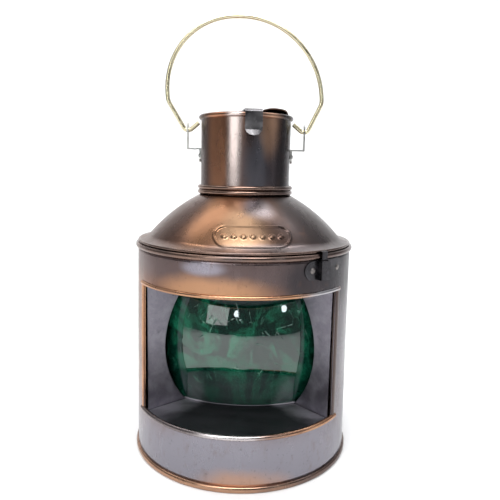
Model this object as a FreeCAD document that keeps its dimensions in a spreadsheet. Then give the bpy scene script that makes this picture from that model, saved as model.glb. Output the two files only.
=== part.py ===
"""Ship lantern with a coloured glass, an opening roof, an opening chimney lid and a wire bail.

Millimetres.  +Z is up, the origin is the centre of the base, and the window faces -Y.
An azimuth is counted from the front (-Y), positive towards +X.
"""
import FreeCAD, Part
import math
import os
import re
import Sketcher

DIMENSIONS = {
    # lower body
    "body_radius": 75.0, "body_top": 149.0, "sheet_gauge": 0.8, "part_gap": 0.3, "touch_gap": 0.05,
    "hem_height": 4.0, "hem_reach": 1.5, "hem_tuck": 0.7, "hem_nose": 1.2, "top_hem": 3.4,
    "wire_radius": 0.9, "seam_chamfer": 0.5,
    # window in the body's front
    "window_sill": 36.0, "window_head": 124.0, "window_angle": 57.0, "window_azimuth": -3.5,
    "jamb_angle": 2.4, "jamb_proud": 0.5, "sill_bead": 1.7, "head_bead": 1.4,
    # base plate and its draught holes
    "plate_lift": 0.5, "vent_circle": 60.0, "vent_radius": 3.0,
    # alcove behind the window
    "shelf_top": 34.0, "alcove_top": 126.5, "panel_depth": 17.0, "panel_fold": 39.0, "panel_foot": 30.5,
    "glass_radius": 96.5, "glass_front": 35.6, "glass_gauge": 3.0, "glass_top": 118.0,
    "glass_middle": 51.5, "glass_end": 40.0, "glass_lap": 1.5, "glass_foot": 3.0,
    "clip_height": 8.0, "clip_spread": 21.0,
    # keeper on the top band and the lug that drops into it
    "keeper_azimuth": 43.5, "keeper_drop": 16.0, "keeper_height": 12.0, "keeper_angle": 14.0,
    "loop_azimuth": 40.5, "loop_angle": 2.2, "loop_stand": 3.4, "strip_gauge": 0.8,
    "lug_gauge": 0.6, "lug_width": 4.8, "lug_length": 15.0, "lug_out": 2.1, "lug_root": 3.0,
    # roof
    "seat_depth": 10.0, "seat_inset": 4.0, "lip_gap": 1.8, "lip_flare": 7.6, "lip_rise": 1.7,
    "dome_radius": 118.0, "dome_angle": 49.9, "dome_gauge": 0.8,
    "badge_azimuth": 5.5, "badge_width": 51.0, "badge_height": 18.0, "badge_border": 1.8,
    "badge_relief": 0.8, "badge_tilt": 42.0, "badge_reach": 60.0,
    "stud_count": 7, "stud_radius": 2.1, "stud_pitch": 6.0,
    # chimney
    "chimney_radius": 31.2, "chimney_gauge": 0.8, "chimney_height": 54.0, "rim_bead": 1.65,
    "rim_wire": 1.0, "collar_height": 6.4, "collar_reach": 2.4,
    # roof hinge at the back
    "hinge_width": 22.0, "hinge_knuckle": 8.0, "hinge_barrel": 2.0, "hinge_pin": 1.0, "hinge_stand": 3.9,
    "hinge_leaf": 20.0, "hinge_gauge": 1.0, "hinge_grip": 6.0, "hinge_drop": 0.5, "fit_clearance": 0.05,
    # lid
    "lid_lap": 1.2, "lid_gauge": 0.8, "tongue_azimuth": 9.0, "tongue_width": 12.5,
    "tongue_drop": 16.5, "tongue_lip": 3.0, "tongue_root": 16.0, "lid_barrel": 1.5, "lid_pin": 0.7,
    "lid_hinge_out": 3.6, "lid_hinge_width": 14.0, "lid_knuckle": 5.0, "lid_leaf": 12.0,
    "lid_leaf_drop": 14.0, "wall_rivet_drop": 9.0, "tongue_rivet_back": 5.0, "tongue_gap": 0.5,
    # ears and bail
    "ear_stand": 10.0, "ear_gauge": 1.0, "ear_width": 7.0, "ear_drop": 22.5, "ear_leaf": 10.0,
    "ear_tip": 5.0, "pivot_drop": 10.0, "bail_wire": 1.5, "bail_half": 53.5, "bail_flat": 1.5,
    "bail_leg": 19.6, "bail_straight": 4.6, "bail_knee": 10.0, "bail_bend": 2.2, "bail_tuck": 1.3,
    "bail_exit": 1.7, "hook_in": 4.0, "hook_up": 3.4,
    # rivets
    "rivet_radius": 1.0, "rivet_head": 1.9, "rivet_crown": 0.7, "rivet_spread": 6.5, "small_spread": 3.6,
    # oil font and burner
    "font_y": 26.0, "font_radius": 29.0, "font_lift": 2.1, "font_height": 30.0, "font_gauge": 0.8,
    "font_shoulder": 6.0, "clip_rise": 14.0, "clip_mouth": 3.0, "clip_width": 8.0, "clip_foot": 20.0,
    "burner_hole": 9.0, "spigot_length": 3.0, "ring_wall": 1.2, "filler_offset": 19.2, "filler_radius": 3.2,
    "cap_radius": 4.6, "cap_height": 4.5, "collar_ring": 12.0, "collar_rise": 4.0,
    "burner_radius": 14.0, "burner_rise": 3.0, "tube_width": 14.0, "tube_depth": 4.0, "tube_rise": 22.0,
    "tube_gauge": 0.6, "wick_width": 12.0, "wick_depth": 2.0, "wick_show": 3.0, "wick_tail": 14.0,
    "wheel_radius": 3.0, "wheel_width": 2.0, "wheel_lift": 5.5, "shaft_radius": 0.9, "shaft_out": 34.0,
    "knob_radius": 6.0, "knob_width": 3.0, "post_gap": 2.0, "post_width": 4.0, "post_gauge": 1.2,
    "hood_radius": 11.0, "hood_rise": 9.0, "hood_gauge": 0.7, "leg_width": 3.0, "leg_gauge": 0.6,
}

# Places that several pieces share.
WALL_IN = "(body_radius - sheet_gauge)"
HEM_IN = "(body_radius - sheet_gauge - hem_tuck)"
HEM_OUT = "(body_radius + hem_reach)"
GLASS_Y = "(glass_radius - glass_front)"
GLASS_Z = "((shelf_top + glass_top) / 2)"
GLASS_HALF = "((glass_top - shelf_top) / 2)"
GLASS_SWELL = "(glass_middle - glass_end)"
BARREL_ARC = "((%s ^ 2 + %s ^ 2) / (2 * %s))" % (GLASS_HALF, GLASS_SWELL, GLASS_SWELL)
SHELF_ARC = "(sqrt(glass_radius ^ 2 - %s ^ 2) + part_gap)" % GLASS_HALF
JAMB_RADIUS = "(body_radius - sheet_gauge / 4 - sill_bead - 2 * part_gap)"
JAMB_X = "(%s * sin(window_angle + 0.6))" % JAMB_RADIUS
JAMB_Y = "(-%s * cos(window_angle + 0.6))" % JAMB_RADIUS
WING_TURN = "(atan((-%s - panel_depth) / (%s - panel_fold)))" % (JAMB_Y, JAMB_X)
KEEPER_FOOT = "(body_top - keeper_drop)"
SEAT = "(body_top + part_gap)"
LIP_TOP = "(body_top + lip_gap + dome_gauge)"
DOME_EDGE = "(body_radius - lip_flare)"
DOME_R = "(%s - dome_radius * sin(dome_angle))" % DOME_EDGE
DOME_Z = "(%s + lip_rise - dome_radius * cos(dome_angle))" % LIP_TOP
CHIMNEY_HOLE = "(chimney_radius + touch_gap)"
EAR_FACE = "(chimney_radius + ear_stand)"
LID_HINGE = "(chimney_radius + lid_hinge_out)"
FLARE_LEAN = "atan(lip_rise / lip_flare)"


def dome_height(across, grow="0"):
    """Height of the dome's outer surface, grown outward, at a distance from the lantern's axis."""
    return "(%s + sqrt((dome_radius + %s) ^ 2 - (%s - %s) ^ 2))" % (DOME_Z, grow, across, DOME_R)


DOME_TOP = dome_height(CHIMNEY_HOLE)
RIM_TOP = "(%s + chimney_height)" % DOME_TOP
PIVOT = "(%s - pivot_drop)" % RIM_TOP
BAIL_TOP = "(%s + bail_leg + bail_straight + bail_half - bail_flat)" % PIVOT
LID_UNDER = "(%s + part_gap)" % RIM_TOP
LID_TOP = "(%s + part_gap + lid_gauge)" % RIM_TOP
FONT_FOOT = "(plate_lift + sheet_gauge + font_lift)"
FONT_TOP = "(%s + font_height)" % FONT_FOOT
BURNER_FOOT = "(%s + collar_rise)" % FONT_TOP
TUBE_FOOT = "(%s + touch_gap)" % BURNER_FOOT
TUBE_TOP = "(%s + tube_rise)" % TUBE_FOOT
LEG_FOOT = "(%s + burner_rise + 2 * touch_gap)" % BURNER_FOOT
SHAFT_Z = "(%s + burner_rise + wheel_lift)" % BURNER_FOOT
SHAFT_Y = "(font_y + wick_depth / 2 + fit_clearance + wheel_radius)"

doc = FreeCAD.newDocument("ship_lantern")
sheet = doc.addObject("Spreadsheet::Sheet", "dims")
for row, (alias, number) in enumerate(DIMENSIONS.items(), start=1):
    sheet.set("A%d" % row, alias.replace("_", " "))
    sheet.set("B%d" % row, str(number))
    sheet.setAlias("B%d" % row, alias)
doc.recompute()

Vector = FreeCAD.Vector
Placement = FreeCAD.Placement
Rotation = FreeCAD.Rotation
X_AXIS = Vector(1, 0, 0)
Y_AXIS = Vector(0, 1, 0)
Z_AXIS = Vector(0, 0, 1)
probe = doc.addObject("App::FeaturePython", "probe")
nodes = []


def sized(text):
    """The expression with the sheet's name in front of each alias."""
    return re.sub(r"[a-z]+(?:_[a-z]+)+", r"dims.\g<0>", text)


def value(text):
    """The number that an expression gives now."""
    result = probe.evalExpression(sized(text))
    return float(getattr(result, "Value", result))


def bind(item, **texts):
    """Bind properties of an object to expressions."""
    for name, text in texts.items():
        item.setExpression(name.replace("__", "."), sized(text))


def keep(item, label):
    """Make an object one of the lantern's sub-parts."""
    item.Label = label
    nodes.append(item)
    return item


# ---- sketches and PartDesign features -------------------------------------------------------

def new_body(name):
    return doc.addObject("PartDesign::Body", name)


def new_sketch(body, role, lift="0"):
    """An empty sketch on one of the body's origin planes, lifted along the plane's normal."""
    sketch = body.newObject("Sketcher::SketchObject", "Sketch")
    plane = [item for item in body.Origin.OriginFeatures if item.Role == role][0]
    sketch.AttachmentSupport = [(plane, "")]
    sketch.MapMode = "FlatFace"
    if lift != "0":
        sketch.AttachmentOffset = Placement(Vector(0, 0, value(lift)), Rotation())
        sketch.setExpression("AttachmentOffset.Base.z", sized(lift))
    return sketch


def pin_point(sketch, geometry, end, across, up):
    """Hold a point of a sketch at two expressions."""
    for kind, text in (("DistanceX", across), ("DistanceY", up)):
        index = sketch.addConstraint(Sketcher.Constraint(kind, -1, 1, geometry, end, value(text)))
        sketch.setExpression("Constraints[%d]" % index, sized(text))


def outline(sketch, points, arcs=None):
    """A closed outline through points held by expressions.

    arcs maps the index of a side to (radius, hand): the side from that point to the next is an
    arc that bulges to the left of the walk for hand 1 and to the right for hand -1.
    """
    arcs = arcs or {}
    spots = [Vector(value(across), value(up), 0) for across, up in points]
    for index, (start, point) in enumerate(zip(spots, points)):
        stop = spots[(index + 1) % len(spots)]
        if index in arcs:
            radius_text, hand = arcs[index]
            radius = value(radius_text)
            half = (stop - start).Length / 2
            left = Z_AXIS.cross((stop - start).normalize())
            sag = radius - math.sqrt(radius ** 2 - half ** 2)
            middle = (start + stop) / 2 + left * sag * hand
            side = sketch.addGeometry(Part.Arc(start, middle, stop), False)
            backwards = (sketch.getPoint(side, 1) - start).Length > (sketch.getPoint(side, 2) - start).Length
            first, last = (2, 1) if backwards else (1, 2)
            held = sketch.addConstraint(Sketcher.Constraint("Radius", side, radius))
            sketch.setExpression("Constraints[%d]" % held, sized(radius_text))
        else:
            side = sketch.addGeometry(Part.LineSegment(start, stop), False)
            first, last = 1, 2
        pin_point(sketch, side, first, *point)
        if index:
            sketch.addConstraint(Sketcher.Constraint("Coincident", previous[0], previous[1], side, first))
        else:
            opening = (side, first)
        previous = (side, last)
    sketch.addConstraint(Sketcher.Constraint("Coincident", previous[0], previous[1], opening[0], opening[1]))
    return sketch


def circle(sketch, across, up, radius):
    """A circle held by expressions."""
    spot = Vector(value(across), value(up), 0)
    ring = sketch.addGeometry(Part.Circle(spot, Z_AXIS, value(radius)), False)
    pin_point(sketch, ring, 3, across, up)
    held = sketch.addConstraint(Sketcher.Constraint("Radius", ring, value(radius)))
    sketch.setExpression("Constraints[%d]" % held, sized(radius))
    return sketch


def feature(body, kind, sketch, **texts):
    """A sketch-based feature with bound sizes."""
    item = body.newObject("PartDesign::" + kind, kind)
    item.Profile = sketch
    sketch.Visibility = False
    bind(item, **texts)
    return item


def spin(body, sketch, angle="360", kind="Revolution"):
    """Turn a sketch about its own vertical axis, half of the angle to each side."""
    item = feature(body, kind, sketch, Angle=angle)
    item.ReferenceAxis = (sketch, ["V_Axis"])
    item.Midplane = True
    return item


def pad(body, sketch, length, middle=False, back=False):
    item = feature(body, "Pad", sketch, Length=length)
    item.Midplane = middle
    item.Reversed = back
    return item


def through(body, sketch):
    """Cut a sketch through the whole body, to both sides."""
    item = feature(body, "Pocket", sketch)
    item.Type = "ThroughAll"
    item.Midplane = True
    return item


def turned(item, azimuth):
    """Turn a piece that was drawn at the front, or at +X, to its azimuth."""
    item.Placement = Placement(Vector(0, 0, 0), Rotation(Z_AXIS, value(azimuth)))
    item.setExpression("Placement.Rotation.Angle", sized(azimuth))
    return item


# ---- primitives and booleans ----------------------------------------------------------------

def cylinder(radius, height, lift="0", across="0", along="0", angle="360"):
    item = doc.addObject("Part::Cylinder", "Cylinder")
    bind(item, Radius=radius, Height=height, Angle=angle)
    bind(item, Placement__Base__z=lift, Placement__Base__x=across, Placement__Base__y=along)
    return item


def sector(radius, height, lift, azimuth, half_angle):
    """A pie-shaped block round the lantern's axis, centred on an azimuth."""
    item = cylinder(radius, height, lift, angle="2 * (%s)" % half_angle)
    item.Placement = Placement(Vector(0, 0, value(lift)), Rotation(Z_AXIS, 1.0))
    bind(item, Placement__Rotation__Angle="%s - 90 - (%s)" % (azimuth, half_angle))
    return item


def torus(ring, radius, lift):
    item = doc.addObject("Part::Torus", "Torus")
    bind(item, Radius1=ring, Radius2=radius, Placement__Base__z=lift)
    return item


def cross_cylinder(radius, length, start, along, lift):
    """A cylinder along +X."""
    item = doc.addObject("Part::Cylinder", "Rod")
    item.Placement = Placement(Vector(0, 0, 0), Rotation(Y_AXIS, 90))
    bind(item, Radius=radius, Height=length)
    bind(item, Placement__Base__x=start, Placement__Base__y=along, Placement__Base__z=lift)
    return item


def block(low, size):
    item = doc.addObject("Part::Box", "Block")
    bind(item, Placement__Base__x=low[0], Placement__Base__y=low[1], Placement__Base__z=low[2])
    bind(item, Length=size[0], Width=size[1], Height=size[2])
    return item


def cut(base, *tools):
    item = doc.addObject("Part::Cut", "Cut")
    item.Base = base
    item.Tool = tools[0] if len(tools) == 1 else group(*tools)
    return item


def join(*pieces):
    item = doc.addObject("Part::MultiFuse", "Join")
    item.Shapes = list(pieces)
    item.Refine = True
    return item


def common(*pieces):
    item = doc.addObject("Part::MultiCommon", "Common")
    item.Shapes = list(pieces)
    return item


def group(*pieces):
    item = doc.addObject("Part::Compound", "Group")
    item.Links = list(pieces)
    return item


# ---- rivets ---------------------------------------------------------------------------------

def outward(azimuth, reach, height, across="0"):
    """A place on a wall whose own +Z points away from the lantern's axis."""
    turn = Rotation(Z_AXIS, value(azimuth)).multiply(Rotation(X_AXIS, 90))
    return Placement(turn.multVec(Vector(value(across), 0, value(reach))) + Vector(0, 0, value(height)), turn)


def upward(azimuth, reach, height, across="0", lean="0"):
    """A place on a face whose own +Z points up, or leans outward by an angle."""
    turn = Rotation(Z_AXIS, value(azimuth))
    spot = Vector(value(across), -value(reach), value(height))
    return Placement(turn.multVec(spot), turn.multiply(Rotation(X_AXIS, value(lean))))


def set_at(item, place, shift):
    item.Placement = place.multiply(Placement(Vector(0, 0, shift), Rotation()))
    return item


def rivet(place, grip):
    """A headed rivet: its outer head sits on the place, and it clamps a grip below it."""
    thick = value(grip)
    gap = value("touch_gap")
    shank = doc.addObject("Part::Cylinder", "Shank")
    bind(shank, Radius="rivet_radius", Height="%s + 2 * touch_gap" % grip)
    set_at(shank, place, -thick - gap)
    heads = []
    low = -thick - gap - value("rivet_crown")
    for shift, wide, narrow in ((gap, "rivet_head", "rivet_radius"), (low, "rivet_radius", "rivet_head")):
        head = doc.addObject("Part::Cone", "Head")
        bind(head, Radius1=wide, Radius2=narrow, Height="rivet_crown")
        set_at(head, place, shift)
        heads.append(head)
    return join(shank, *heads)


def rivet_hole(place):
    """The drill for a rivet: it runs 4 mm to each side of the rivet's place."""
    drill = doc.addObject("Part::Cylinder", "Drill")
    bind(drill, Radius="rivet_radius + fit_clearance", Height="8")
    return set_at(drill, place, -4.0)


# ---- lower body -----------------------------------------------------------------------------

def body_shell(holes):
    """Sheet cylinder with wired hems, a window with hemmed jambs and beads, and rivet holes."""
    body = new_body("ShellBody")
    shoulder = "(body_radius + hem_reach - hem_nose)"
    nose = "((%s / 2) ^ 2 + hem_nose ^ 2) / (2 * hem_nose)"
    top_low = "(body_top - top_hem)"
    wall = new_sketch(body, "YZ_Plane")
    outline(wall, [
        (HEM_IN, "0"), (shoulder, "0"), (shoulder, "hem_height"),
        ("body_radius", "hem_height + seam_chamfer"), ("body_radius", "%s - seam_chamfer" % top_low),
        (shoulder, top_low), (shoulder, "body_top"), (HEM_IN, "body_top"), (HEM_IN, top_low),
        (WALL_IN, "%s - seam_chamfer" % top_low), (WALL_IN, "hem_height + seam_chamfer"),
        (HEM_IN, "hem_height"),
    ], {1: (nose % "hem_height", -1), 5: (nose % "top_hem", -1)})
    spin(body, wall)
    jamb = new_sketch(body, "YZ_Plane")
    outline(jamb, [
        ("-body_radius - jamb_proud", "window_sill"), ("-%s + jamb_proud" % WALL_IN, "window_sill"),
        ("-%s + jamb_proud" % WALL_IN, "window_head"), ("-body_radius - jamb_proud", "window_head"),
    ])
    spin(body, jamb, "2 * (window_angle + jamb_angle)")
    far = "(1.5 * body_radius)"
    opening = new_sketch(body, "XY_Plane", "window_sill")
    edge_x = "%s * sin(window_angle)" % far
    edge_y = "-%s * cos(window_angle)" % far
    outline(opening, [("0", "0"), ("-" + edge_x, edge_y), ("-" + edge_x, "-" + far), (edge_x, "-" + far),
                      (edge_x, edge_y)])
    window = feature(body, "Pocket", opening, Length="window_head - window_sill")
    window.Reversed = True
    for radius, height in (("sill_bead", "window_sill"), ("head_bead", "window_head")):
        bead = new_sketch(body, "YZ_Plane")
        circle(bead, "-(body_radius - sheet_gauge / 4)", height, radius)
        spin(body, bead, "2 * (window_angle + jamb_angle)")
    tunnels = [torus("body_radius", "wire_radius + fit_clearance", height) for height in
               ("hem_height / 2", "body_top - top_hem / 2")]
    return keep(cut(turned(body, "window_azimuth"), *tunnels, *holes), "body_shell")


def hem_wires():
    """The wires that the two hems are rolled round."""
    keep(torus("body_radius", "wire_radius", "hem_height / 2"), "bottom_hem_wire")
    keep(torus("body_radius", "wire_radius", "body_top - top_hem / 2"), "top_hem_wire")


def base_plate():
    """Round base plate with a ring of draught holes."""
    body = new_body("BasePlate")
    disc = new_sketch(body, "XY_Plane", "plate_lift")
    circle(disc, "0", "0", "%s - touch_gap" % HEM_IN)
    pad(body, disc, "sheet_gauge")
    hole = new_sketch(body, "XY_Plane", "plate_lift")
    circle(hole, "vent_circle", "0", "vent_radius")
    vent = feature(body, "Pocket", hole, Length="sheet_gauge")
    vent.Reversed = True
    ring = body.newObject("PartDesign::PolarPattern", "Vents")
    ring.Originals = [vent]
    ring.Axis = (hole, ["N_Axis"])
    ring.Angle = 360
    ring.Occurrences = 12
    body.Tip = ring
    return keep(body, "base_plate")


def window_shelf():
    """Polished floor of the alcove, cut to the glass and to the panel's wings."""
    body = new_body("Shelf")
    reach = "(%s - touch_gap)" % WALL_IN
    front_x = "(%s * sin(window_angle))" % reach
    front_y = "(-%s * cos(window_angle))" % reach
    fold_y = "(-panel_depth - part_gap)"
    glass_x = "(glass_end - 4 * part_gap)"
    glass_y = "(%s - sqrt(%s ^ 2 - %s ^ 2))" % (GLASS_Y, SHELF_ARC, glass_x)
    plan = new_sketch(body, "XY_Plane", "shelf_top - sheet_gauge")
    outline(plan, [
        ("-" + front_x, front_y), (front_x, front_y), ("panel_fold + 2 * part_gap", "%s - 4 * part_gap" % fold_y),
        (glass_x, glass_y), ("-" + glass_x, glass_y),
        ("-panel_fold - 2 * part_gap", "%s - 4 * part_gap" % fold_y),
    ], {0: (reach, -1), 3: (SHELF_ARC, 1)})
    pad(body, plan, "sheet_gauge")
    return keep(turned(body, "window_azimuth"), "window_shelf")


def window_ceiling():
    """Sheet that closes the alcove above the window and carries the panel's top."""
    body = new_body("Ceiling")
    reach = "(%s - touch_gap)" % WALL_IN
    front_x = "(%s * sin(window_angle + jamb_angle))" % reach
    front_y = "(-%s * cos(window_angle + jamb_angle))" % reach
    plan = new_sketch(body, "XY_Plane", "alcove_top")
    outline(plan, [("-" + front_x, front_y), (front_x, front_y),
                   ("panel_fold", "-panel_depth + 2 * sheet_gauge"),
                   ("-panel_fold", "-panel_depth + 2 * sheet_gauge")], {0: (reach, -1)})
    pad(body, plan, "sheet_gauge")
    return keep(turned(body, "window_azimuth"), "window_ceiling")


def window_panel():
    """Bent sheet behind the window, with a barrel-shaped hole for the glass."""
    body = new_body("Panel")
    end_x = "(%s + sheet_gauge * sin(%s))" % (JAMB_X, WING_TURN)
    end_y = "(%s + sheet_gauge * cos(%s))" % (JAMB_Y, WING_TURN)
    back_fold = "(panel_fold + sheet_gauge * tan(%s / 2))" % WING_TURN
    front = [("-" + JAMB_X, JAMB_Y), ("-panel_fold", "-panel_depth"), ("panel_fold", "-panel_depth"),
             (JAMB_X, JAMB_Y)]
    back = [(end_x, end_y), (back_fold, "sheet_gauge - panel_depth"), ("-" + back_fold, "sheet_gauge - panel_depth"),
            ("-" + end_x, end_y)]
    plan = new_sketch(body, "XY_Plane", "panel_foot")
    outline(plan, front + back)
    pad(body, plan, "alcove_top - panel_foot")
    low = "(panel_foot - 1)"
    hole = new_sketch(body, "XZ_Plane")
    outline(hole, [
        ("-glass_end", low), ("glass_end", low), ("glass_end", "shelf_top"), ("glass_end", "glass_top + part_gap"),
        ("-glass_end", "glass_top + part_gap"), ("-glass_end", "shelf_top"),
    ], {2: (BARREL_ARC, -1), 4: (BARREL_ARC, -1)})
    through(body, hole)
    return keep(turned(body, "window_azimuth"), "window_panel")


def green_glass():
    """Bulged pane: a piece of a spherical shell with a barrel outline, held behind the panel."""
    blank = new_body("GlassBlank")
    outer = "(glass_end + glass_lap)"
    foot = "(shelf_top - glass_foot)"
    face = new_sketch(blank, "XZ_Plane")
    outline(face, [
        ("-" + outer, foot), (outer, foot), (outer, "shelf_top"), (outer, "glass_top"),
        ("-" + outer, "glass_top"), ("-" + outer, "shelf_top"),
    ], {2: (BARREL_ARC, -1), 4: (BARREL_ARC, -1)})
    pad(blank, face, "2 * glass_front")
    spheres = []
    for radius in ("glass_radius", "glass_radius - glass_gauge"):
        ball = doc.addObject("Part::Sphere", "Ball")
        bind(ball, Radius=radius, Placement__Base__y=GLASS_Y, Placement__Base__z=GLASS_Z)
        spheres.append(ball)
    pane = cut(common(blank, spheres[0]), spheres[1])
    return keep(turned(pane, "window_azimuth"), "green_glass")


def glass_clips():
    """Four bent strips on the back of the wings that hold the glass from behind."""
    clips = []
    for height in ("(%s - clip_spread)" % GLASS_Z, "(%s + clip_spread)" % GLASS_Z):
        for side in (1, -1):
            clips.append(glass_clip(height, side))
    return keep(turned(group(*clips), "window_azimuth"), "glass_clips")


def glass_clip(height, side):
    """One clip: a leaf on the wing, a leg past the glass's edge and a foot behind the glass."""
    body = new_body("GlassClip")
    rise = "(%s - %s)" % (height, GLASS_Z)
    edge = "(glass_middle + glass_lap - %s + sqrt(%s ^ 2 - (abs(%s) - clip_height / 2) ^ 2))" % (
        BARREL_ARC, BARREL_ARC, rise)
    leg_in = "(%s + part_gap)" % edge
    leg_out = "(%s + part_gap + strip_gauge)" % edge
    foot_x = "(%s - 4)" % edge
    reach = "(glass_radius - glass_gauge)"
    foot_y = "(%s - sqrt(%s ^ 2 - (abs(%s) + clip_height / 2) ^ 2 - %s ^ 2) + part_gap)" % (
        GLASS_Y, reach, rise, "(%s)" % edge)
    slope = "tan(%s)" % WING_TURN
    wing = "(sheet_gauge / cos(%s) + touch_gap - panel_depth - (%%s - panel_fold) * %s)" % (WING_TURN, slope)
    tip = "(%s + 5)" % leg_out
    lift = "strip_gauge / cos(%s)" % WING_TURN
    points = [
        (tip, wing % tip), (tip, "%s + %s" % (wing % tip, lift)),
        (leg_out, "%s + %s" % (wing % leg_out, lift)), (leg_out, "%s + strip_gauge" % foot_y),
        (foot_x, "%s + strip_gauge" % foot_y), (foot_x, foot_y), (leg_in, foot_y), (leg_in, wing % leg_in),
    ]
    plan = new_sketch(body, "XY_Plane", "%s - clip_height / 2" % height)
    outline(plan, [(across if side > 0 else "-(%s)" % across, along) for across, along in points])
    pad(body, plan, "clip_height")
    return body


def keeper_places():
    """Where the keeper's two rivets sit on the body's wall."""
    lean = "((keeper_angle + loop_angle) / 2 + 1)"
    middle = "(%s + keeper_height / 2)" % KEEPER_FOOT
    reach = "(body_radius + touch_gap + strip_gauge)"
    return [outward("keeper_azimuth %s %s" % (sign, lean), reach, middle) for sign in "+-"]


def keeper_strap():
    """Strap with two round-ended leaves on the wall and a loop that stands off between them."""
    reach = "(body_radius + touch_gap + strip_gauge)"
    stand = "(body_radius + loop_stand + strip_gauge)"
    loop = "(loop_angle + strip_gauge / body_radius * 57.3)"
    wall = cylinder("body_radius + touch_gap", "keeper_height", KEEPER_FOOT)
    leaves = cut(sector(reach, "keeper_height", KEEPER_FOOT, "keeper_azimuth", "keeper_angle"),
                 sector("1.1 * " + stand, "keeper_height", KEEPER_FOOT, "loop_azimuth", "loop_angle"), wall)
    bridge = cut(sector(stand, "keeper_height", KEEPER_FOOT, "loop_azimuth", loop),
                 sector("body_radius + loop_stand", "keeper_height", KEEPER_FOOT, "loop_azimuth", "loop_angle"),
                 wall)
    shape = new_body("KeeperOutline")
    half = "(body_radius * sin(keeper_angle))"
    straight = "(%s - keeper_height / 2)" % half
    top = "(%s + keeper_height)" % KEEPER_FOOT
    face = new_sketch(shape, "XZ_Plane")
    outline(face, [("-" + straight, KEEPER_FOOT), (straight, KEEPER_FOOT), (straight, top), ("-" + straight, top)],
            {1: ("keeper_height / 2 + 0.01", -1), 3: ("keeper_height / 2 + 0.01", -1)})
    pad(shape, face, "2 * body_radius")
    turned(shape, "keeper_azimuth")
    holes = [rivet_hole(place) for place in keeper_places()]
    return keep(cut(common(join(leaves, bridge), shape), *holes), "keeper_strap")


# ---- roof hinge -----------------------------------------------------------------------------

HINGE_Y = "(body_radius + hinge_stand)"
HINGE_Z = "(body_top - hinge_drop)"


def barrel(width, shift, reach, height, radius):
    """One knuckle of a hinge, centred on a shift along X."""
    return cross_cylinder(radius, width, "%s - (%s) / 2" % (shift, width), reach, height)


def side_profile(name, points, width, arcs=None):
    """A piece drawn from the side, in Y and Z, and as wide as stated along X."""
    body = new_body(name)
    sketch = new_sketch(body, "YZ_Plane")
    outline(sketch, points, arcs)
    pad(body, sketch, width, middle=True)
    return body


def roof_hinge_places():
    """Rivets of the leaf on the body, then of the leaf on the roof."""
    low = "(%s - 0.7 * hinge_leaf)" % HINGE_Z
    body_side = [outward("180", "(body_radius + hinge_gauge)", low, "%srivet_spread" % sign) for sign in ("", "-")]
    height = "(%s + lip_rise / 2 + touch_gap + hinge_gauge / cos(%s) - 0.05)" % (LIP_TOP, FLARE_LEAN)
    roof_side = [upward("180", "(body_radius - lip_flare / 2)", height, "%srivet_spread" % sign, FLARE_LEAN)
                 for sign in ("", "-")]
    return body_side, roof_side


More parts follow.
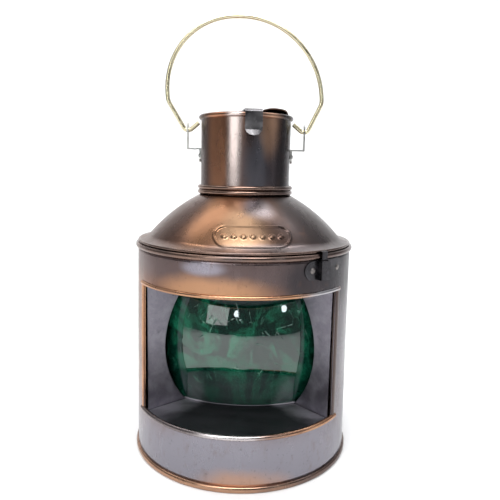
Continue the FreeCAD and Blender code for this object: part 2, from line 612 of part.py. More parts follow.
def roof_hinge(shell_holes, dome_holes):
    """Body leaf, roof leaf and pin of the hinge behind the roof."""
    body_side, roof_side = roof_hinge_places()
    leaf_top = "(body_top - top_hem - 2 * seam_chamfer)"
    leaf_low = "(%s - hinge_leaf)" % leaf_top
    neck_in = "(%s + touch_gap)" % HEM_OUT
    plate = side_profile("BodyLeaf", [
        ("body_radius - 2", leaf_low), ("body_radius + hinge_gauge", leaf_low),
        ("body_radius + hinge_gauge", "%s - 2" % leaf_top), ("%s + hinge_barrel" % HINGE_Y, "%s - 2" % HINGE_Z),
        ("%s + hinge_barrel" % HINGE_Y, HINGE_Z), (neck_in, HINGE_Z), (neck_in, leaf_top),
        ("body_radius - 2", leaf_top),
    ], "hinge_knuckle")
    wide = side_profile("BodyLeafPlate", [
        ("body_radius - 2", leaf_low), ("body_radius + hinge_gauge", leaf_low),
        ("body_radius + hinge_gauge", "%s - 3" % leaf_top), ("body_radius - 2", "%s - 3" % leaf_top),
    ], "hinge_width")
    knuckle = barrel("hinge_knuckle", "0", HINGE_Y, HINGE_Z, "hinge_barrel")
    bore = barrel("2 * hinge_width", "0", HINGE_Y, HINGE_Z, "hinge_pin + fit_clearance")
    keep(cut(join(plate, wide, knuckle), cylinder("body_radius + touch_gap", "body_top"), bore,
             *[rivet_hole(place) for place in body_side]), "roof_hinge_body_leaf")
    side_width = "((hinge_width - hinge_knuckle) / 2 - part_gap)"
    side_shift = "((hinge_knuckle + hinge_width) / 4 + part_gap / 2)"
    root = "(%s - hinge_grip)" % DOME_EDGE
    lip_under = "(%s + touch_gap)" % LIP_TOP
    leaf = side_profile("RoofLeafPlate", [
        (root, dome_height(root, "touch_gap")), (DOME_EDGE, dome_height(DOME_EDGE, "touch_gap")),
        ("body_radius", lip_under), ("body_radius", "%s + hinge_gauge" % lip_under),
        (DOME_EDGE, "%s + hinge_gauge + touch_gap" % dome_height(DOME_EDGE)),
        (root, dome_height(root, "(touch_gap + hinge_gauge)")),
    ], "hinge_width", {0: ("dome_radius + touch_gap", 1), 4: ("dome_radius + touch_gap + hinge_gauge", -1)})
    arms = side_profile("RoofLeafArms", [
        ("body_radius", lip_under), ("body_radius", "%s + hinge_gauge" % lip_under),
        (HINGE_Y, "%s + hinge_barrel" % HINGE_Z), ("%s + hinge_barrel" % HINGE_Y, HINGE_Z),
        ("%s - hinge_gauge" % HINGE_Y, HINGE_Z), ("%s + part_gap" % HEM_OUT, "%s + hinge_barrel" % HINGE_Z),
    ], "hinge_width")
    notch = block(("-hinge_knuckle / 2 - part_gap", "body_radius + 2 * part_gap", "%s - 4" % HINGE_Z),
                  ("hinge_knuckle + 2 * part_gap", "12", "12"))
    pieces = [leaf, cut(arms, notch)]
    for sign in ("", "-"):
        pieces.append(barrel(side_width, sign + side_shift, HINGE_Y, HINGE_Z, "hinge_barrel"))
    bore = barrel("2 * hinge_width", "0", HINGE_Y, HINGE_Z, "hinge_pin + fit_clearance")
    keep(cut(join(*pieces), bore, *[rivet_hole(place) for place in roof_side]), "roof_hinge_roof_leaf")
    pin = barrel("hinge_width + 1", "0", HINGE_Y, HINGE_Z, "hinge_pin")
    keep(pin, "roof_hinge_pin")
    grip = "(hinge_gauge + sheet_gauge + 8 * touch_gap)"
    keep(group(*[rivet(place, grip) for place in body_side]), "body_leaf_rivets")
    roof_grip = "(hinge_gauge + dome_gauge + 3 * touch_gap)"
    keep(group(*[rivet(place, roof_grip) for place in roof_side]), "roof_leaf_rivets")
    shell_holes.extend(rivet_hole(place) for place in body_side)
    dome_holes.extend(rivet_hole(place) for place in roof_side)


# ---- roof -----------------------------------------------------------------------------------

def badge_prism(name, width, height, depth, shift="0"):
    """A straight-sided oval block that stands square on the dome at the badge's place."""
    body = new_body(name)
    half = "((%s - %s) / 2)" % (width, height)
    face = new_sketch(body, "XY_Plane")
    outline(face, [
        ("%s - %s" % (shift, half), "-%s / 2" % height), ("%s + %s" % (shift, half), "-%s / 2" % height),
        ("%s + %s" % (shift, half), "%s / 2" % height), ("%s - %s" % (shift, half), "%s / 2" % height),
    ], {1: ("%s / 2 + 0.01" % height, -1), 3: ("%s / 2 + 0.01" % height, -1)})
    pad(body, face, depth, middle=True)
    return stand_on_dome(body)


def stand_on_dome(item):
    """Place a flat drawing on the dome, with its own +Z along the dome's normal."""
    tilt = Rotation(X_AXIS, value("badge_tilt"))
    turn = Rotation(Z_AXIS, value("badge_azimuth"))
    spot = Vector(0, -value("badge_reach"), value(dome_height("badge_reach")))
    item.Placement = Placement(turn.multVec(spot), turn.multiply(tilt))
    return item


def badge_stud(shift):
    """One plain round stud in the badge's row."""
    body = new_body("BadgeStud")
    face = new_sketch(body, "XY_Plane")
    circle(face, shift, "0", "stud_radius")
    pad(body, face, "30", middle=True)
    return stand_on_dome(body)


def badge_relief():
    """Raised border and a row of plain studs on the dome's front."""
    layer = new_body("ReliefLayer")
    inner = "(badge_reach - 18)"
    face = new_sketch(layer, "XZ_Plane")
    relief = "badge_relief"
    outline(face, [
        (inner, dome_height(inner)), (DOME_EDGE, dome_height(DOME_EDGE)),
        (DOME_EDGE, dome_height(DOME_EDGE, relief)), (inner, dome_height(inner, relief)),
    ], {0: ("dome_radius", 1), 2: ("dome_radius + badge_relief", -1)})
    spin(layer, face)
    inner_width = "(badge_width - 2 * badge_border)"
    inner_height = "(badge_height - 2 * badge_border)"
    ring = cut(badge_prism("BadgeOuter", "badge_width", "badge_height", "30"),
               badge_prism("BadgeInner", inner_width, inner_height, "40"))
    count = int(value("stud_count"))
    studs = [badge_stud("(%g * stud_pitch)" % (index - (count - 1) / 2)) for index in range(count)]
    return common(layer, group(ring, *studs))


def roof_dome(holes):
    """Domed sheet roof with a flared lip, a hole for the chimney and a raised badge."""
    body = new_body("Dome")
    thin = "-dome_gauge"
    under_edge = "(%s - dome_gauge)" % DOME_EDGE
    profile = new_sketch(body, "XZ_Plane")
    outline(profile, [
        (CHIMNEY_HOLE, DOME_TOP), (DOME_EDGE, dome_height(DOME_EDGE)), ("body_radius", LIP_TOP),
        ("body_radius", "%s - dome_gauge" % LIP_TOP), (under_edge, dome_height(under_edge, thin)),
        (CHIMNEY_HOLE, dome_height(CHIMNEY_HOLE, thin)),
    ], {0: ("dome_radius", 1), 4: ("dome_radius - dome_gauge", -1)})
    spin(body, profile)
    return keep(cut(join(body, badge_relief()), *holes), "roof_dome")


def roof_skirt():
    """Ring inside the roof: a seat on the body's top hem and a skirt that centres the roof."""
    body = new_body("Skirt")
    outer = "(body_radius - seat_inset)"
    seat_out = "(body_radius - 1)"
    profile = new_sketch(body, "XZ_Plane")
    outline(profile, [
        ("%s - sheet_gauge" % outer, "body_top - seat_depth"), (outer, "body_top - seat_depth"),
        (outer, SEAT), (seat_out, SEAT), (seat_out, "%s + sheet_gauge" % SEAT),
        ("%s - sheet_gauge" % outer, "%s + sheet_gauge" % SEAT),
    ])
    spin(body, profile)
    return keep(body, "roof_skirt")


def roof_lug():
    """Strip on the roof's seat that bends down outside the hem into the keeper."""
    base = "(%s + sheet_gauge + touch_gap)" % SEAT
    out = "(body_radius + lug_out)"
    foot = "(body_top - lug_length)"
    body = side_profile("Lug", [
        ("-body_radius + lug_root", base), ("-%s" % out, base), ("-%s" % out, foot), ("-%s - lug_gauge" % out, foot),
        ("-%s - lug_gauge" % out, "%s + lug_gauge" % base), ("-body_radius + lug_root", "%s + lug_gauge" % base),
    ], "lug_width")
    return keep(turned(body, "loop_azimuth"), "roof_lug")


# ---- chimney --------------------------------------------------------------------------------

def ear_place():
    return [outward("90 * %d" % side, "(chimney_radius + part_gap + ear_gauge)",
                    "(%s - ear_drop - ear_leaf / 2)" % RIM_TOP) for side in (1, -1)]


def chimney_tube(holes):
    """Chimney with a wired rim."""
    body = new_body("Chimney")
    bead_z = "(%s - rim_bead)" % RIM_TOP
    foot = "(%s - 2)" % DOME_TOP
    wall = new_sketch(body, "XZ_Plane")
    outline(wall, [("chimney_radius - chimney_gauge", foot), ("chimney_radius", foot),
                   ("chimney_radius", bead_z), ("chimney_radius - chimney_gauge", bead_z)])
    spin(body, wall)
    bead = new_sketch(body, "XZ_Plane")
    circle(bead, "chimney_radius", bead_z, "rim_bead")
    spin(body, bead)
    tunnel = torus("chimney_radius", "rim_wire + fit_clearance", bead_z)
    keep(torus("chimney_radius", "rim_wire", bead_z), "chimney_rim_wire")
    return keep(cut(body, tunnel, *holes), "chimney_tube")


def chimney_collar():
    """Double-beaded ring that covers the joint of chimney and dome."""
    body = new_body("Collar")
    inner = "(chimney_radius + touch_gap)"
    outer = "(chimney_radius + collar_reach - collar_height / 4)"
    foot = "(%s + touch_gap)" % DOME_TOP
    profile = new_sketch(body, "XZ_Plane")
    bead = "collar_height / 4 + 0.01"
    outline(profile, [
        (inner, foot), (outer, foot), (outer, "%s + collar_height / 2" % foot), (outer, "%s + collar_height" % foot),
        (inner, "%s + collar_height" % foot),
    ], {1: (bead, -1), 2: (bead, -1)})
    spin(body, profile)
    return keep(body, "chimney_collar")


def ears(holes):
    """Two bent strips on the chimney, each with a hole for the bail."""
    inner = "(chimney_radius + part_gap)"
    top = "(%s + ear_tip)" % PIVOT
    bend = "(%s - ear_drop)" % RIM_TOP
    low = "(%s - ear_leaf)" % bend
    for label, place, turn in zip(("ear_right", "ear_left"), ear_place(), ("0", "180")):
        strip = new_body("Ear")
        side = new_sketch(strip, "XZ_Plane")
        outline(side, [
            (inner, low), ("%s + ear_gauge" % inner, low), ("%s + ear_gauge" % inner, "%s - ear_gauge" % bend),
            (EAR_FACE, "%s - ear_gauge" % bend), (EAR_FACE, top), (EAR_FACE + " - ear_gauge", top),
            (EAR_FACE + " - ear_gauge", bend), (inner, bend),
        ])
        pad(strip, side, "ear_width", middle=True)
        shape = new_body("EarOutline")
        face = new_sketch(shape, "YZ_Plane")
        half = "(ear_width / 2)"
        outline(face, [
            ("-%s" % half, "%s + %s" % (low, half)), (half, "%s + %s" % (low, half)),
            (half, "%s - %s / 2" % (top, half)), ("0", "%s + touch_gap" % top),
            ("-%s" % half, "%s - %s / 2" % (top, half)),
        ], {0: ("%s + 0.01" % half, -1)})
        pad(shape, face, "2 * " + EAR_FACE)
        bore = cross_cylinder("bail_wire + 2 * fit_clearance", "6", EAR_FACE + " - 4", "0", PIVOT)
        blank = cut(common(strip, shape), bore)
        blank.Placement = Placement(Vector(0, 0, 0), Rotation(Z_AXIS, value(turn)))
        keep(cut(blank, rivet_hole(place)), label)
        holes.append(rivet_hole(place))
    grip = "(chimney_gauge + part_gap + ear_gauge + 2 * touch_gap)"
    keep(group(*[rivet(place, grip) for place in ear_place()]), "ear_rivets")


def rounded_path(corners, radii):
    """Straight runs through corner points, with a tangent arc at each inner corner."""
    edges = []
    last = corners[0]
    for before, corner, after, radius in zip(corners, corners[1:], corners[2:], radii):
        arrive = (corner - before).normalize()
        leave = (after - corner).normalize()
        turn = arrive.getAngle(leave)
        trim = radius * math.tan(turn / 2)
        start = corner - arrive * trim
        stop = corner + leave * trim
        inward = (leave - arrive).normalize()
        middle = corner + inward * (radius / math.cos(turn / 2) - radius)
        if (start - last).Length > 1e-6:
            edges.append(Part.makeLine(last, start))
        edges.append(Part.Arc(start, middle, stop).toShape())
        last = stop
    edges.append(Part.makeLine(last, corners[-1]))
    return Part.Wire(edges)


def bail():
    """Wire bail: a round crown, waisted legs, a short run through each ear and a hooked end."""
    pivot = value(PIVOT)
    half = value("bail_half")
    bend = value("bail_bend")
    inner = value(EAR_FACE + " - ear_gauge - bail_tuck")
    outer = value(EAR_FACE + " + bail_exit")
    right = [
        Vector(inner - value("hook_in"), 0, pivot + value("hook_up")), Vector(inner, 0, pivot),
        Vector(outer, 0, pivot), Vector(half, 0, pivot + value("bail_leg")),
        Vector(half, 0, value(BAIL_TOP)),
    ]
    left = [Vector(-spot.x, 0, spot.z) for spot in reversed(right)]
    radii = [bend, bend, value("bail_knee"), half - value("bail_flat")]
    path = rounded_path(right + left, radii + radii[::-1])
    start = path.Edges[0].Vertexes[0].Point
    tangent = (right[1] - right[0]).normalize()
    ring = Part.Wire([Part.makeCircle(value("bail_wire"), start, tangent)])
    solid = path.makePipeShell([ring], True, False)
    expected = math.pi * value("bail_wire") ** 2 * path.Length
    print("bail: volume is %.4f of section times length" % (solid.Volume / expected))
    item = doc.addObject("Part::Feature", "Bail")
    item.Shape = solid
    return keep(item, "bail")


# ---- lid ------------------------------------------------------------------------------------

BACK = "(tongue_azimuth + 180)"


def lid_hinge_places():
    """Rivets of the leaf on the chimney, then of the leaf on the lid."""
    signs = ("", "-")
    wall = [outward(BACK, "(chimney_radius + strip_gauge)", "(%s - wall_rivet_drop)" % RIM_TOP, "%ssmall_spread" % sign)
            for sign in signs]
    level = [upward(BACK, "(%s - lid_leaf)" % LID_HINGE, "(%s + touch_gap + strip_gauge)" % LID_TOP,
                    "%ssmall_spread" % sign) for sign in signs]
    return wall, level


def lid_disc(holes):
    disc = cylinder("chimney_radius + lid_lap", "lid_gauge", LID_UNDER)
    return keep(cut(disc, *holes), "chimney_lid")


def lid_tongue(holes):
    """Spring strip on the lid that bends down over the rim, with a flared round end."""
    inner = "(chimney_radius + rim_bead + tongue_gap)"
    outer = "(%s + strip_gauge)" % inner
    base = "(%s + touch_gap)" % LID_TOP
    foot = "(%s - tongue_drop)" % RIM_TOP
    flare = "(%s + tongue_lip)" % foot
    strip = side_profile("Tongue", [
        ("-tongue_root", base), ("-" + inner, base), ("-" + inner, flare), ("-%s - 1" % inner, foot),
        ("-%s - 1.2" % outer, foot), ("-" + outer, "%s + 0.2" % flare), ("-" + outer, "%s + strip_gauge" % base),
        ("-tongue_root", "%s + strip_gauge" % base),
    ], "tongue_width")
    shape = new_body("TongueOutline")
    half = "(tongue_width / 2)"
    top = "(%s + 2)" % LID_TOP
    face = new_sketch(shape, "XZ_Plane")
    outline(face, [("-" + half, "%s + %s" % (foot, half)), (half, "%s + %s" % (foot, half)), (half, top),
                   ("-" + half, top)], {0: ("%s + 0.01" % half, -1)})
    pad(shape, face, "2 * chimney_radius")
    place = upward("0", "(tongue_root + tongue_rivet_back)", "(%s + strip_gauge)" % base)
    turned_place = upward("tongue_azimuth", "(tongue_root + tongue_rivet_back)", "(%s + strip_gauge)" % base)
    blank = cut(common(strip, shape), rivet_hole(place))
    turned(blank, "tongue_azimuth")
    holes.append(rivet_hole(turned_place))
    keep(rivet(turned_place, "(strip_gauge + touch_gap + lid_gauge)"), "tongue_rivet")
    return keep(blank, "lid_tongue")


def lid_hinge(tube_holes, lid_holes):
    """Leaf on the chimney, leaf on the lid, and the pin between them."""
    wall, level = lid_hinge_places()
    axis_z = LID_UNDER
    rim_out = "(chimney_radius + rim_bead + 3 * touch_gap)"
    leaf_low = "(%s - lid_leaf_drop)" % RIM_TOP
    leaf_top = "(%s - 2 * rim_bead - 1)" % RIM_TOP
    out = "(chimney_radius + strip_gauge)"
    neck = side_profile("ChimneyLeafNeck", [
        ("chimney_radius - 2", leaf_low), (out, leaf_low), (out, "%s - 2" % leaf_top),
        (LID_HINGE + " + lid_barrel", "%s - lid_barrel" % axis_z), (LID_HINGE + " + lid_barrel", axis_z),
        (rim_out, axis_z), (rim_out, leaf_top), ("chimney_radius - 2", leaf_top),
    ], "lid_knuckle")
    plate = side_profile("ChimneyLeafPlate", [
        ("chimney_radius - 2", leaf_low), (out, leaf_low), (out, "%s - 1.5" % leaf_top),
        ("chimney_radius - 2", "%s - 1.5" % leaf_top),
    ], "lid_hinge_width")
    knuckle = barrel("lid_knuckle", "0", LID_HINGE, axis_z, "lid_barrel")
    bore = barrel("2 * lid_hinge_width", "0", LID_HINGE, axis_z, "lid_pin + fit_clearance")
    chimney_side = cut(join(neck, plate, knuckle), cylinder("chimney_radius + touch_gap", RIM_TOP), bore)
    turned(chimney_side, "tongue_azimuth")
    keep(cut(chimney_side, *[rivet_hole(place) for place in wall]), "lid_hinge_chimney_leaf")
    side_width = "((lid_hinge_width - lid_knuckle) / 2 - part_gap)"
    side_shift = "((lid_knuckle + lid_hinge_width) / 4 + part_gap / 2)"
    base = "(%s + touch_gap)" % LID_TOP
    top = "(%s + strip_gauge)" % base
    leaf = side_profile("LidLeaf", [
        (LID_HINGE + " - 1.6 * lid_leaf", base), (LID_HINGE, base), (LID_HINGE, top),
        (LID_HINGE + " - 1.6 * lid_leaf", top),
    ], "lid_hinge_width")
    notch = block(("-lid_knuckle / 2 - part_gap", LID_HINGE + " - lid_barrel - part_gap", "%s - 3" % axis_z),
                  ("lid_knuckle + 2 * part_gap", "8", "8"))
    pieces = [cut(leaf, notch)]
    for sign in ("", "-"):
        pieces.append(barrel(side_width, sign + side_shift, LID_HINGE, axis_z, "lid_barrel"))
    bore = barrel("2 * lid_hinge_width", "0", LID_HINGE, axis_z, "lid_pin + fit_clearance")
    lid_side = turned(cut(join(*pieces), bore), "tongue_azimuth")
    keep(cut(lid_side, *[rivet_hole(place) for place in level]), "lid_hinge_lid_leaf")
    pin = group(barrel("lid_hinge_width + 1", "0", LID_HINGE, axis_z, "lid_pin"))
    keep(turned(pin, "tongue_azimuth"), "lid_hinge_pin")
    wall_grip = "(strip_gauge + chimney_gauge + 10 * touch_gap)"
    keep(group(*[rivet(place, wall_grip) for place in wall]), "chimney_leaf_rivets")
    keep(group(*[rivet(place, "(strip_gauge + touch_gap + lid_gauge)") for place in level]), "lid_leaf_rivets")
    tube_holes.extend(rivet_hole(place) for place in wall)
    lid_holes.extend(rivet_hole(place) for place in level)


# ---- oil font and burner --------------------------------------------------------------------

def shifted(item, along):
    """Move a piece that was drawn round the lantern's axis back to the font's axis."""
    item.Placement = Placement(Vector(0, value(along), 0), Rotation())
    item.setExpression("Placement.Base.y", sized(along))
    return item


def oil_font():
    """Hollow oil tank with rounded shoulders, a burner hole and a filler hole."""
    body = new_body("Font")
    inner = "(font_radius - font_gauge)"
    low = FONT_FOOT
    top = FONT_TOP
    profile = new_sketch(body, "XZ_Plane")
    outline(profile, [
        ("0", low), ("font_radius", low), ("font_radius", "%s - font_shoulder" % top),
        ("font_radius - font_shoulder", top), ("burner_hole", top), ("burner_hole", "%s - font_gauge" % top),
        ("font_radius - font_shoulder", "%s - font_gauge" % top), (inner, "%s - font_shoulder" % top),
        (inner, "%s + font_gauge" % low), ("0", "%s + font_gauge" % low),
    ], {2: ("font_shoulder + 0.01", -1), 6: ("font_shoulder - font_gauge + 0.01", 1)})
    spin(body, profile)
    hole = new_sketch(body, "XY_Plane", "%s + 1" % top)
    circle(hole, "0", "-filler_offset", "filler_radius")
    feature(body, "Pocket", hole, Length="font_height / 2")
    return keep(shifted(body, "font_y"), "oil_font")


def font_clips():
    """Three spring clips on the base plate that hold the font."""
    clips = []
    base = "(plate_lift + sheet_gauge + touch_gap)"
    reach = "(font_radius + part_gap)"
    outer = "(%s + strip_gauge)" % reach
    bend = "(%s + clip_rise)" % base
    mouth = "(%s + clip_mouth)" % bend
    for azimuth in ("60", "180", "300"):
        clip = side_profile("FontClip", [
            ("-clip_foot", base), ("-" + outer, base), ("-" + outer, bend), ("-%s - clip_mouth" % outer, mouth),
            ("-%s - clip_mouth" % reach, mouth), ("-" + reach, bend), ("-" + reach, "%s + strip_gauge" % base),
            ("-clip_foot", "%s + strip_gauge" % base),
        ], "clip_width")
        clip.Placement = Placement(Vector(0, value("font_y"), 0), Rotation(Z_AXIS, value(azimuth)))
        clip.setExpression("Placement.Base.y", sized("font_y"))
        clips.append(clip)
    return keep(group(*clips), "font_clips")


def filler_cap():
    """Knurled cap with a plug in the font's filler hole."""
    along = "(font_y - filler_offset)"
    base = "(%s + touch_gap)" % FONT_TOP
    plug = cylinder("filler_radius - fit_clearance", "spigot_length + 1", "%s - spigot_length" % base, along=along)
    head = cylinder("cap_radius", "cap_height", base, along=along)
    flutes = []
    count = 18
    for index in range(count):
        angle = 360.0 * index / count
        flutes.append(cylinder("0.5", "cap_height", base,
                               across="(cap_radius + 0.2) * cos(%g)" % angle,
                               along="%s + (cap_radius + 0.2) * sin(%g)" % (along, angle)))
    return keep(cut(join(plug, head), *flutes), "filler_cap")


def burner():
    """Collar ring, burner body with the wick tube, and the hood over it."""
    ring = cylinder("collar_ring", "collar_rise - touch_gap", "%s + touch_gap" % FONT_TOP, along="font_y")
    spigot = cylinder("burner_hole - fit_clearance", "spigot_length + 1", "%s - spigot_length" % FONT_TOP,
                      along="font_y")
    eye = cylinder("burner_hole - ring_wall", "collar_rise + 2 * spigot_length", "%s - spigot_length - 1" % FONT_TOP,
                   along="font_y")
    keep(cut(join(ring, spigot), eye), "burner_collar")
    disc = cylinder("burner_radius", "burner_rise", "%s + touch_gap" % BURNER_FOOT, along="font_y")
    slot = block(("-tube_width / 2 - touch_gap", "font_y - tube_depth / 2 - touch_gap", "%s - 1" % BURNER_FOOT),
                 ("tube_width + 2 * touch_gap", "tube_depth + 2 * touch_gap", "burner_rise + 3"))
    posts = [burner_post(sign) for sign in ("", "-")]
    keep(join(cut(disc, slot), *posts), "burner_plate")
    outer = block(("-tube_width / 2", "font_y - tube_depth / 2", TUBE_FOOT), ("tube_width", "tube_depth", "tube_rise"))
    inside = block(("-tube_width / 2 + tube_gauge", "font_y - tube_depth / 2 + tube_gauge", "%s - 1" % TUBE_FOOT),
                   ("tube_width - 2 * tube_gauge", "tube_depth - 2 * tube_gauge", "tube_rise + 2"))
    gates = []
    gate_low = "%s - wheel_radius - part_gap" % SHAFT_Z
    for sign in ("", "-"):
        gate_start = "%stube_width / 4 - wheel_width / 2 - part_gap" % sign
        gates.append(block((gate_start, "font_y + tube_depth / 4", gate_low),
                           ("wheel_width + 2 * part_gap", "tube_depth", "2 * wheel_radius + 2 * part_gap")))
    keep(cut(outer, inside, *gates), "wick_tube")
    return burner_hood()


def burner_post(sign):
    """Upright plate on the burner that carries the wick shaft."""
    low = "(%s + touch_gap + burner_rise / 2)" % BURNER_FOOT
    start = "%s(tube_width / 2 + post_gap) - post_gauge / 2" % sign
    post = block((start, "%s - post_width / 2" % SHAFT_Y, low),
                 ("post_gauge", "post_width", "%s - %s + post_width / 2" % (SHAFT_Z, low)))
    hole = cross_cylinder("shaft_radius + fit_clearance", "post_gauge + 2", "%s - 1" % start, SHAFT_Y, SHAFT_Z)
    return cut(post, hole)


def burner_hood():
    """Domed hood over the wick tube, with a slot for the flame."""
    body = new_body("Hood")
    foot = "(%s - hood_rise + 4)" % TUBE_TOP
    top = "(%s + hood_rise)" % foot
    profile = new_sketch(body, "XZ_Plane")
    outline(profile, [
        ("hood_radius - hood_gauge", foot), ("hood_radius", foot), ("hood_radius - 2", "%s - 2" % top),
        ("hood_radius / 3", top), ("0", top), ("0", "%s - hood_gauge" % top),
        ("hood_radius / 3", "%s - hood_gauge" % top), ("hood_radius - 2.6", "%s - 2.5" % top),
    ])
    spin(body, profile)
    slot = new_sketch(body, "XY_Plane", "%s + 1" % top)
    half_x = "(wick_width / 2 + sheet_gauge)"
    half_y = "(wick_depth / 2 + sheet_gauge)"
    outline(slot, [("-" + half_x, "-" + half_y), (half_x, "-" + half_y), (half_x, half_y), ("-" + half_x, half_y)])
    feature(body, "Pocket", slot, Length="hood_rise / 2 + 1")
    legs = []
    for azimuth in ("90", "270"):
        leg = block(("-leg_width / 2", "-hood_radius + touch_gap", LEG_FOOT),
                    ("leg_width", "leg_gauge", "%s - %s + 1" % (foot, LEG_FOOT)))
        legs.append(turned(join(leg, leg_foot()), azimuth))
    hood = join(body, *legs)
    return keep(shifted(hood, "font_y"), "burner_hood")


def leg_foot():
    """Bent foot of a hood leg on the burner plate."""
    return block(("-leg_width / 2", "-hood_radius - 2", LEG_FOOT), ("leg_width", "2 + leg_gauge", "leg_gauge"))


def wick_parts():
    """Wick, and the shaft with its toothed wheels and knob."""
    top = "(%s + wick_show)" % TUBE_TOP
    foot = "(%s - wick_tail)" % BURNER_FOOT
    wick = block(("-wick_width / 2", "font_y - wick_depth / 2", foot),
                 ("wick_width", "wick_depth", "%s - %s" % (top, foot)))
    keep(wick, "wick")
    start = "(-tube_width / 2 - 4)"
    rod = cross_cylinder("shaft_radius", "shaft_out - %s" % start, start, SHAFT_Y, SHAFT_Z)
    wheels = []
    teeth = 12
    for sign in ("", "-"):
        centre = "(%stube_width / 4)" % sign
        disc = cross_cylinder("wheel_radius", "wheel_width", "%s - wheel_width / 2" % centre, SHAFT_Y, SHAFT_Z)
        gullets = []
        for index in range(teeth):
            angle = 360.0 * (index + 0.5) / teeth
            gullets.append(cross_cylinder("0.5", "wheel_width + 1", "%s - wheel_width / 2 - 0.5" % centre,
                                          "%s + (wheel_radius + 0.1) * cos(%g)" % (SHAFT_Y, angle),
                                          "%s + (wheel_radius + 0.1) * sin(%g)" % (SHAFT_Z, angle)))
        wheels.append(cut(disc, *gullets))
    keep(join(rod, *wheels), "wick_shaft")
    head = cross_cylinder("knob_radius", "knob_width", "shaft_out - knob_width / 2", SHAFT_Y, SHAFT_Z)
    eye = cross_cylinder("shaft_radius + touch_gap", "8", "shaft_out - 4", SHAFT_Y, SHAFT_Z)
    flutes = []
    count = 20
    for index in range(count):
        angle = 360.0 * index / count
        flutes.append(cross_cylinder("0.45", "knob_width + 1", "shaft_out - knob_width / 2 - 0.5",
                                     "%s + (knob_radius + 0.15) * cos(%g)" % (SHAFT_Y, angle),
                                     "%s + (knob_radius + 0.15) * sin(%g)" % (SHAFT_Z, angle)))
    keep(cut(head, eye, *flutes), "wick_knob")


def check_and_write():
    """Stop on any failed object or shape, then write every sub-part."""
    doc.recompute()
    for item in doc.Objects:
        if "Invalid" in item.State or "Error" in item.State:
            raise RuntimeError("%s (%s) failed: %s" % (item.Name, item.Label, item.State))
    os.makedirs("parts", exist_ok=True)
    for item in nodes:
        shape = item.Shape
        if shape.isNull() or not shape.isValid() or not shape.Solids:
            raise RuntimeError("%s has no valid solid" % item.Label)
    for item in nodes:
        item.Shape.exportStep("parts/%s.step" % item.Label)
        print("%-24s %2d solid(s) %10.1f mm3" % (item.Label, len(item.Shape.Solids), item.Shape.Volume))


def main():
    shell_holes = [rivet_hole(place) for place in keeper_places()]
    dome_holes = []
    tube_holes = []
    lid_holes = []
    roof_hinge(shell_holes, dome_holes)
    body_shell(shell_holes)
    hem_wires()
    base_plate()
    window_shelf()
    window_ceiling()
    window_panel()
    green_glass()
    glass_clips()
    keeper_strap()
    keep(group(*[rivet(place, "(strip_gauge + touch_gap + sheet_gauge)") for place in keeper_places()]),
         "keeper_rivets")
    roof_dome(dome_holes)
    roof_skirt()
    roof_lug()
    ears(tube_holes)
    lid_hinge(tube_holes, lid_holes)
    chimney_tube(tube_holes)
    chimney_collar()
    bail()
    lid_tongue(lid_holes)
    lid_disc(lid_holes)
    oil_font()
    font_clips()
    filler_cap()
    burner()
    wick_parts()
    check_and_write()


main()
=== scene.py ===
"""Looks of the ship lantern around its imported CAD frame.

Lengths are in metres.  +Z is up and the window faces -Y.  An azimuth is in degrees about the axis,
counted from the front and positive to +X.
"""
import math

import bmesh
import bpy
from mathutils import Matrix, Vector, noise

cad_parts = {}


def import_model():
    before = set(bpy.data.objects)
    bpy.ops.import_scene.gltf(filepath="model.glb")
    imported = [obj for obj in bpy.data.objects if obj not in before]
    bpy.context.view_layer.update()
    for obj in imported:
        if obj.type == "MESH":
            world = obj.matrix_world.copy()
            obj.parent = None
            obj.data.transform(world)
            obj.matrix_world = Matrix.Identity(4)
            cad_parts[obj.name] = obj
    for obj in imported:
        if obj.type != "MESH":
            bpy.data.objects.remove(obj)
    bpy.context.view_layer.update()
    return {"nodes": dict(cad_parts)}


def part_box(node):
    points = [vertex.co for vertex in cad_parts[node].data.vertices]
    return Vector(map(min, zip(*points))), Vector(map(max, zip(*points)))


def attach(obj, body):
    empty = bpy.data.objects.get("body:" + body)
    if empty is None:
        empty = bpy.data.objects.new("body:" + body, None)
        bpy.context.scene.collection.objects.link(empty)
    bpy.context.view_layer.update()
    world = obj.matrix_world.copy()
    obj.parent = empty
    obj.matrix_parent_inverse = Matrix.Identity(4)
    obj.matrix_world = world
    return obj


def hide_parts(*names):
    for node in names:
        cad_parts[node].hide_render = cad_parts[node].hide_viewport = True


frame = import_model()
NODES = frame["nodes"]
MM = 0.001


# ---- sizes read from the frame --------------------------------------------------------------

def top_of(node):
    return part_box(node)[1][2]


def foot_of(node):
    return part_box(node)[0][2]


HEM_BULGE = 1.5 * MM
HEM_TUCK = 1.5 * MM
BOTTOM_HEM = 4.0 * MM
TOP_HEM = 3.4 * MM
SHEET = 0.8 * MM
BODY_TOP = top_of("body_shell")
BODY_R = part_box("body_shell")[1][0] - HEM_BULGE
SHELF_TOP = top_of("window_shelf")
WINDOW_SILL = SHELF_TOP + 2 * MM
WINDOW_HEAD = top_of("window_panel") - 2.5 * MM
WINDOW_TURN = -3.5
WINDOW_HALF = 57.0
WINDOW_LEFT = WINDOW_TURN - WINDOW_HALF
WINDOW_RIGHT = WINDOW_TURN + WINDOW_HALF
BASE_SPREAD = 1.4 * MM
LEFT_JAMB = 2.4
RIGHT_JAMB = 3.6
SILL_BEAD = 1.7 * MM
HEAD_BEAD = 1.4 * MM
BEAD_R = BODY_R - SHEET / 4
GLASS_R = 96.5 * MM
GLASS_Y = 60.9 * MM

